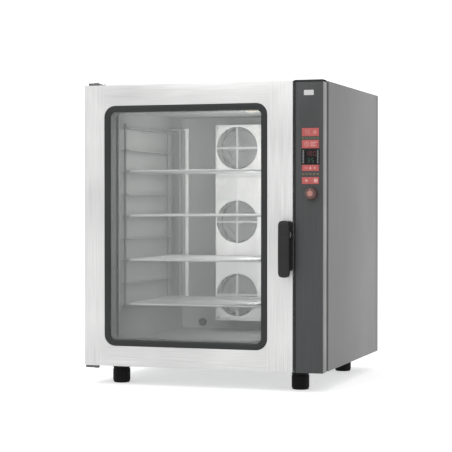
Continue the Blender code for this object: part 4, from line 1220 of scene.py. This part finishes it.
# ---- Stage
def stage():
    """White sweep: a floor that curves up far behind the oven."""
    shape = bmesh.new()
    rows = []
    wide = 40.0
    for y, z in ((-40.0, 0.0), (8.0, 0.0), (9.5, 0.25), (10.6, 1.1), (11.2, 2.6), (11.3, 9.0)):
        rows.append([shape.verts.new((x, y, z)) for x in (-wide, wide)])
    bridge(shape, rows, closed_rows=False, closed_across=False)
    bmesh.ops.recalc_face_normals(shape, faces=shape.faces)
    mesh = bpy.data.meshes.new("studio_floor")
    shape.to_mesh(mesh)
    shape.free()
    mesh.shade_smooth()
    mesh.materials.append(
        surface(
            "studio_white", (
                0.66, 0.66, 0.66,
            ), (0.68, 0.68, 0.68), 0.9, grain=(2, 2, 2), patch=0.5, bump=0.0,
            glow=0.48,
        )
    )
    floor = bpy.data.objects.new("studio_floor", mesh)
    bpy.context.scene.collection.objects.link(floor)


def area_light(name, place, target, size, power, colour=(1, 1, 1)):
    light = bpy.data.lights.new(name, "AREA")
    light.shape = "RECTANGLE"
    light.size, light.size_y = size
    light.energy = power
    light.color = colour
    item = bpy.data.objects.new(name, light)
    item.location = place
    item.rotation_euler = (Vector(target) - Vector(place)).to_track_quat("-Z", "Y").to_euler()
    item.visible_camera = False
    bpy.context.scene.collection.objects.link(item)


def lighting():
    world = bpy.context.scene.world or bpy.data.worlds.new("studio")
    bpy.context.scene.world = world
    world.use_nodes = True
    tree = world.node_tree
    back = tree.nodes["Background"]
    coords = tree.nodes.new("ShaderNodeTexCoord").outputs["Generated"]
    split = tree.nodes.new("ShaderNodeSeparateXYZ")
    tree.links.new(coords, split.inputs[0])
    shade = spread(tree, split.outputs["X"], 1.0, 0.62, 0.35, 1.0)
    tree.links.new(shade, back.inputs["Strength"])
    back.inputs["Color"].default_value = (1, 1, 1, 1)
    area_light("key_softbox", (-0.9, -3.6, 3.6), (-0.1, -0.4, 0.9), (2.6, 2.6), 55)
    area_light("top_softbox", (0.0, 0.2, 4.2), (0, 0, 0), (3.0, 3.0), 40)
    lamp = middle("cavity_lamp")
    inside = (lamp.x - 0.12, lamp.y + 0.02, LINER_HIGH.z - 0.03)
    area_light(
        "oven_lamp", inside, (inside[0], inside[1] + 0.2, LINER_LOW.z), (0.40, 0.10), 1.4, (1.0, 0.98, 0.95),
    )
    level = (LINER_LOW.z + LINER_HIGH.z) / 2 + 0.06
    mouth = ((LINER_LOW.x + LINER_HIGH.x) / 2, LINER_LOW.y + 0.008, level)
    area_light("oven_mouth_fill", mouth, (mouth[0] + 0.05, LINER_HIGH.y, level), (0.54, 0.74), 0.9)
    side = (at(0.668, 0, 0).x, at(0, 0.34, 0).y, level)
    area_light("oven_side_fill", side, (side[0] - 0.40, side[1] + 0.26, level), (0.30, 0.74), 4.2)


def camera():
    view = bpy.data.cameras.new("camera")
    view.lens = CAMERA_LENS
    view.sensor_width = CAMERA_SENSOR
    item = bpy.data.objects.new("camera", view)
    item.location = CAMERA_PLACE
    item.rotation_euler = (CAMERA_TILT, 0, CAMERA_TURN)
    bpy.context.scene.collection.objects.link(item)
    bpy.context.scene.camera = item
    bpy.context.scene.view_settings.view_transform = "Standard"


cabinet()
hinges()
cover_screws()
louvres()
services()
feet()
gasket()
racks()
shelves()
fans()
lamp()
door()
handle()
control_panel()
knob()
stage()
lighting()
camera()
